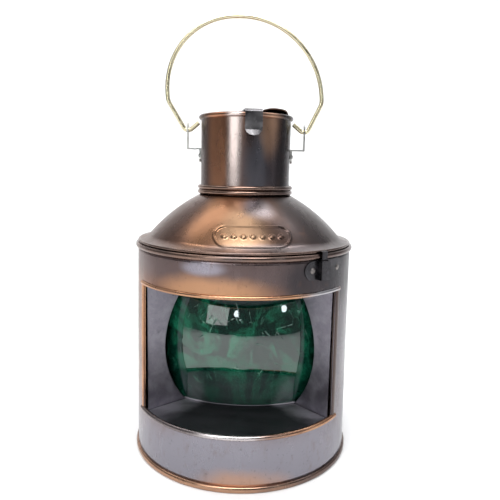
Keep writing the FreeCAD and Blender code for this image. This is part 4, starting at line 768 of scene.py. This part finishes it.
def roof_lip():
    """Rolled bead round the dome's foot."""
    circle = arc_points((LIP_R - LIP_BEAD, LIP_FOOT - LIP_SAG), LIP_BEAD, 0, BEAD_STOP, BEAD_STEPS)
    return lathe("roof_lip", circle, MATERIALS["hem"], "roof", steps=300, wobble=dome_wave)


for roof_piece in (dome(), roof_lip()):
    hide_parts("roof_dome")


# ---- chimney, collar and lid ----------------------------------------------------------------

def chimney():
    """Chimney wall rolled over at its rim."""
    bead_z = RIM_TOP - RIM_BEAD
    inside = CHIMNEY_R - SHEET
    rise = bead_z - RIM_BEAD - CHIMNEY_FOOT
    steps = 12
    wall = [(CHIMNEY_R, CHIMNEY_FOOT + rise * step / steps) for step in range(steps + 1)]
    bead = arc_points((CHIMNEY_R, bead_z), RIM_BEAD, -84, 200, 24)
    profile = wall + bead + [(inside, bead_z - 2 * MM), (inside, CHIMNEY_FOOT)]
    return lathe("chimney", profile, MATERIALS["chimney"], "roof", crease=40.0,
                 wobble=handmade(0.22 * MM, 22.0, 5.0))


def collar():
    """Two hand-rolled beads round the chimney's foot."""
    bead = COLLAR_RISE / 4
    inner = CHIMNEY_R + 0.35 * MM
    outer = CHIMNEY_R + 0.4 * MM
    profile = [(inner, COLLAR_FOOT)]
    for level in (1, 3):
        profile += arc_points((outer, COLLAR_FOOT + bead * level), bead, -86, 86, 12)
    profile.append((inner, COLLAR_FOOT + COLLAR_RISE))
    return lathe("collar", profile, MATERIALS["collar"], "roof", crease=50.0,
                 wobble=handmade(0.5 * MM, 30.0, 7.0))


LID_FLAT = 24 * MM
LID_RINGS = 14
LID_STEPS = 120
LID_DROP = 0.95 * MM
BENT_RISE = 2.3 * MM
BENT_TURN = 50
BENT_HALF = 38
TONGUE_GAUGE = 0.8 * MM
TONGUE_HALF = 5.7 * MM
TONGUE_CROWN = 0.35 * MM
TONGUE_STEPS = 12
TONGUE_ROOT = 16 * MM
TONGUE_CLEAR = 0.5 * MM
TONGUE_PINCH = 0.6 * MM
TONGUE_FLARE = 0.9 * MM
TONGUE_BENDS = [1.6 * MM, 3 * MM]
TONGUE_TIP = 0.6 * MM
CROWN_RUN = 9 * MM


def lid():
    """Thin lid whose edge drops into the rim, but stands up on the right where it is bent."""
    points = []
    for layer in (0, 1):
        for ring in range(LID_RINGS + 1):
            radius = LID_R * (ring + 0.001) / LID_RINGS
            outer = smooth(radius, LID_FLAT, LID_R)
            for step in range(LID_STEPS):
                azimuth = 360 / LID_STEPS * step
                toward = math.cos(math.radians(azimuth - BENT_TURN))
                bent = smooth(toward, math.cos(math.radians(BENT_HALF)), 1.0)
                height = LID_FOOT + SHEET * layer + outer * (BENT_RISE * bent - LID_DROP * (1 - bent))
                points.append(polar(azimuth, radius, height))
    faces = []
    layer_size = (LID_RINGS + 1) * LID_STEPS
    for layer in (0, 1):
        for ring in range(LID_RINGS):
            for step in range(LID_STEPS):
                here = layer * layer_size + ring * LID_STEPS + step
                beside = layer * layer_size + ring * LID_STEPS + (step + 1) % LID_STEPS
                faces.append((here, beside, beside + LID_STEPS, here + LID_STEPS))
    for ring in (0, LID_RINGS):
        for step in range(LID_STEPS):
            here = ring * LID_STEPS + step
            beside = ring * LID_STEPS + (step + 1) % LID_STEPS
            faces.append((here, beside, beside + layer_size, here + layer_size))
    return mesh_object("lid_disc", points, faces, MATERIALS["roof"], "lid", 45.0)


def tongue():
    """Spring strip from the lid over the rim, down the chimney's front to a round end that flares out."""
    base = foot_of("lid_tongue")
    level = top_of("lid_tongue") - TONGUE_GAUGE
    outside = CHIMNEY_R + RIM_BEAD + TONGUE_CLEAR
    down = top_of("lid_tongue") - base
    root = Vector((TONGUE_ROOT, 0, level))
    shoulder = Vector((outside, 0, level))
    waist = Vector((outside - TONGUE_PINCH, 0, level - down * 0.68))
    tip = Vector((outside + TONGUE_FLARE, 0, base + TONGUE_GAUGE))
    path = rounded([root, shoulder, waist, tip], TONGUE_BENDS, 8)
    path = [path[0]] + [path[0].lerp(path[1], step / 6) for step in range(1, 6)] + path[1:]
    fine = []
    for before, after in zip(path, path[1:]):
        count = max(1, round((after - before).length / (0.7 * MM)))
        fine += [before.lerp(after, step / count) for step in range(count)]
    fine.append(path[-1])
    last = fine[-1]
    rings = []
    turn = Matrix.Rotation(math.radians(TONGUE_TURN), 3, "Z")
    for index, point in enumerate(fine):
        tangent = (fine[min(index + 1, len(fine) - 1)] - fine[max(index - 1, 0)]).normalized()
        square = Vector((tangent.z, 0, -tangent.x))
        left = (point - last).length
        reach = TONGUE_HALF
        if left <= TONGUE_HALF:
            reach = math.sqrt(max(TONGUE_HALF ** 2 - (TONGUE_HALF - left) ** 2, TONGUE_TIP ** 2))
        crown = TONGUE_CROWN * math.sin(math.pi * min(left / CROWN_RUN, 1.0))
        ring = []
        for layer in (0, 1):
            for step in range(TONGUE_STEPS + 1):
                share = (step / TONGUE_STEPS) * 2 - 1
                across = reach * (share if layer == 0 else -share)
                depth = -square * (TONGUE_GAUGE * (1 - layer)) + square * crown * share * share
                spot = point + depth
                ring.append(turn @ Vector((across, -spot.x, spot.z)))
        rings.append(ring)
    return loft("tongue_strip", rings, MATERIALS["tongue"], "lid", crease=40.0)


for made, node in ((chimney(), "chimney_tube"), (collar(), "chimney_collar"), (lid(), "chimney_lid")):
    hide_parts(node)
tongue_strip = tongue()
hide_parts("lid_tongue")


# ---- bail -----------------------------------------------------------------------------------

BAIL_LEAN = -0.075
LEAN_FROM = 4 * MM
HOOK_CLEAR = 1.8 * MM
HOOK_RISE = 5.0 * MM
EAR_INSIDE = 2.3 * MM
EAR_OUTSIDE = 1.7 * MM
LEG_RISE = 19.6 * MM
EAR_BEND = 2.2 * MM
KNEE_BEND = 10 * MM


def bail():
    """Wire bail that leans left: a bow, legs drawn in to the ears, and ends hooked up at the chimney."""
    hook = Vector((CHIMNEY_R + HOOK_CLEAR, 0, PIVOT_Z + HOOK_RISE))
    inner = Vector((EAR_FACE - EAR_INSIDE, 0, PIVOT_Z))
    outer = Vector((EAR_FACE + EAR_OUTSIDE, 0, PIVOT_Z))
    knee = Vector((BAIL_HALF, 0, PIVOT_Z + LEG_RISE))
    crown = Vector((BAIL_HALF, 0, BAIL_TOP))
    right = [hook, inner, outer, knee, crown]
    corners = right + [Vector((-spot.x, 0, spot.z)) for spot in reversed(right)]
    radii = [EAR_BEND, EAR_BEND, KNEE_BEND, BAIL_HALF - WIRE]
    path = rounded(corners, radii + radii[::-1], 20)
    leaning = []
    for point in path:
        above = max(point.z - PIVOT_Z - LEAN_FROM, 0.0)
        leaning.append(point + Vector((BAIL_LEAN * above, 0, 0)))
    return swept_wire("bail_wire", leaning, WIRE, MATERIALS["brass_wire"], "bail", 20, Vector((0, 1, 0)))


bail_wire = bail()
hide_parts("bail")


# ---- finishes of the CAD nodes that stay ----------------------------------------------------

KEPT = {
    "bottom_hem_wire": "steel", "top_hem_wire": "steel", "base_plate": "shell",
    "window_shelf": "shelf", "window_ceiling": "panel", "window_panel": "panel", "green_glass": "glass",
    "glass_clips": "dark", "keeper_strap": "dark", "keeper_rivets": "rivet",
    "roof_skirt": "dark", "roof_lug": "dark",
    "ear_right": "nickel", "ear_left": "nickel", "ear_rivets": "rivet",
    "roof_hinge_body_leaf": "dark", "roof_hinge_roof_leaf": "dark", "roof_hinge_pin": "steel",
    "body_leaf_rivets": "rivet", "roof_leaf_rivets": "rivet", "lid_hinge_chimney_leaf": "dark",
    "lid_hinge_lid_leaf": "dark", "lid_hinge_pin": "steel", "chimney_leaf_rivets": "rivet",
    "lid_leaf_rivets": "rivet", "chimney_rim_wire": "steel", "tongue_rivet": "rivet",
    "oil_font": "brass", "font_clips": "dark", "filler_cap": "brass",
    "burner_collar": "brass", "burner_plate": "brass", "wick_tube": "brass", "burner_hood": "brass",
    "wick": "cotton", "wick_shaft": "steel", "wick_knob": "brass",
}
for node_name, finish_name in KEPT.items():
    slots = NODES[node_name].data.materials
    slots.clear()
    slots.append(MATERIALS[finish_name])


# ---- stage, lights and camera ---------------------------------------------------------------

AIM_HEIGHT = 0.12
SPARK_TINT = (0.85, 0.95, 1.0)


def stage_mesh(name, points, faces, colour):
    """A matt part of the set."""
    shader = Shader(name + "Paint")
    grain = shader.noise(3.0, 2.0, 0.5)
    tint = shader.blend(shader.ramp(grain, 0.3, 0.7, 0.0, 0.03), colour, rgb(0.7, 0.7, 0.7))
    material = shader.finish(Base_Color=tint, Roughness=0.9)
    mesh = bpy.data.meshes.new(name)
    mesh.from_pydata(points, [], faces)
    mesh.materials.append(material)
    mesh.shade_smooth()
    item = bpy.data.objects.new(name, mesh)
    bpy.context.scene.collection.objects.link(item)


def cyclorama():
    """Pale floor that curves up into a backdrop behind the lantern."""
    reach = 2.2
    front = -1.3
    back = 1.3
    rise = 1.3
    bend = 0.6
    steps = 12
    line = [(front, 0.0), (back - bend, 0.0)]
    for index in range(1, steps + 1):
        angle = math.radians(90 * index / steps)
        line.append((back - bend + bend * math.sin(angle), bend - bend * math.cos(angle)))
    line.append((back, rise))
    points = [(side * reach, along, height) for along, height in line for side in (-1, 1)]
    faces = [(2 * i, 2 * i + 1, 2 * i + 3, 2 * i + 2) for i in range(len(line) - 1)]
    stage_mesh("PaleSweep", points, faces, rgb(0.92, 0.92, 0.92))


def area_light(name, place, target, wide, high, radiance, colour=(1, 1, 1)):
    """A rectangular softbox of a given radiance."""
    light = bpy.data.lights.new(name, "AREA")
    light.shape = "RECTANGLE"
    light.size = wide
    light.size_y = high
    light.energy = radiance * math.pi * wide * high
    light.color = colour
    item = bpy.data.objects.new(name, light)
    item.location = place
    item.rotation_euler = (Vector(target) - Vector(place)).to_track_quat("-Z", "Y").to_euler()
    bpy.context.scene.collection.objects.link(item)
    return item


def softbox(name, azimuth, elevation, distance, wide, high, radiance, colour=(1, 1, 1)):
    """A softbox on a sphere round the lantern, turned to its middle."""
    tilt = math.radians(elevation)
    place = polar(azimuth, distance * math.cos(tilt), AIM_HEIGHT + distance * math.sin(tilt))
    return area_light(name, place, (0, 0, AIM_HEIGHT), wide, high, radiance, colour)


def world():
    """A room that is dim in front, brighter overhead and bright behind."""
    made = bpy.data.worlds.new("Room")
    bpy.context.scene.world = made
    made.use_nodes = True
    tree = made.node_tree
    direction = tree.nodes.new("ShaderNodeSeparateXYZ")
    tree.links.new(tree.nodes.new("ShaderNodeTexCoord").outputs["Generated"], direction.inputs[0])

    def ramp(source, low, high, start, stop):
        made_ramp = tree.nodes.new("ShaderNodeMapRange")
        made_ramp.interpolation_type = "SMOOTHSTEP"
        for name, setting in (("From Min", low), ("From Max", high), ("To Min", start), ("To Max", stop)):
            made_ramp.inputs[name].default_value = setting
        tree.links.new(source, made_ramp.inputs["Value"])
        return made_ramp.outputs["Result"]

    def add(first, second):
        total = tree.nodes.new("ShaderNodeMath")
        total.operation = "ADD"
        tree.links.new(first, total.inputs[0])
        tree.links.new(second, total.inputs[1])
        return total.outputs[0]

    side = ramp(direction.outputs["Y"], -1.0, 0.3, 0.10, 0.34)
    behind = ramp(direction.outputs["Y"], 0.3, 0.9, 0.0, 0.45)
    above = ramp(direction.outputs["Z"], 0.35, 0.95, 0.0, 0.40)
    background = tree.nodes["Background"]
    background.inputs["Color"].default_value = (0.96, 0.97, 1.0, 1.0)
    tree.links.new(add(add(side, behind), above), background.inputs["Strength"])


def camera():
    """The photograph's viewing angle, from the height of the chimney's lower half."""
    lens_camera = bpy.data.cameras.new("Camera")
    lens_camera.sensor_width = 36.0
    lens_camera.lens = 37.7
    item = bpy.data.objects.new("Camera", lens_camera)
    item.location = (3.3 * MM, -376 * MM, 199 * MM)
    item.rotation_euler = (math.radians(90 - 8.67), math.radians(-1.15), 0)
    bpy.context.scene.collection.objects.link(item)
    bpy.context.scene.camera = item


cyclorama()
world()
softbox("StripLeft", -29, 28, 1.05, 0.40, 0.95, 2.2)
spark = softbox("GlassSpark", -10, 15, 1.2, 0.10, 0.12, 9.0, SPARK_TINT)
spark_right = softbox("GlassSparkRight", 37, 18, 1.2, 0.10, 0.13, 9.0, SPARK_TINT)
softbox("SideRight", 75, 20, 1.1, 0.25, 0.8, 0.5)
softbox("FrontTop", 0, 58, 1.3, 0.9, 0.6, 7.0)
area_light("Overhead", (0, 0.15, 1.5), (0, 0.1, 0), 0.25, 0.8, 1.2)
area_light("BackWash", (0, 0.35, 1.3), (0, 1.3, 0.4), 1.8, 0.6, 4.2)
for lamp in (spark, spark_right):
    lamp.data.shape = "ELLIPSE"
bpy.context.scene.view_settings.view_transform = "Standard"
camera()

bpy.context.view_layer.update()
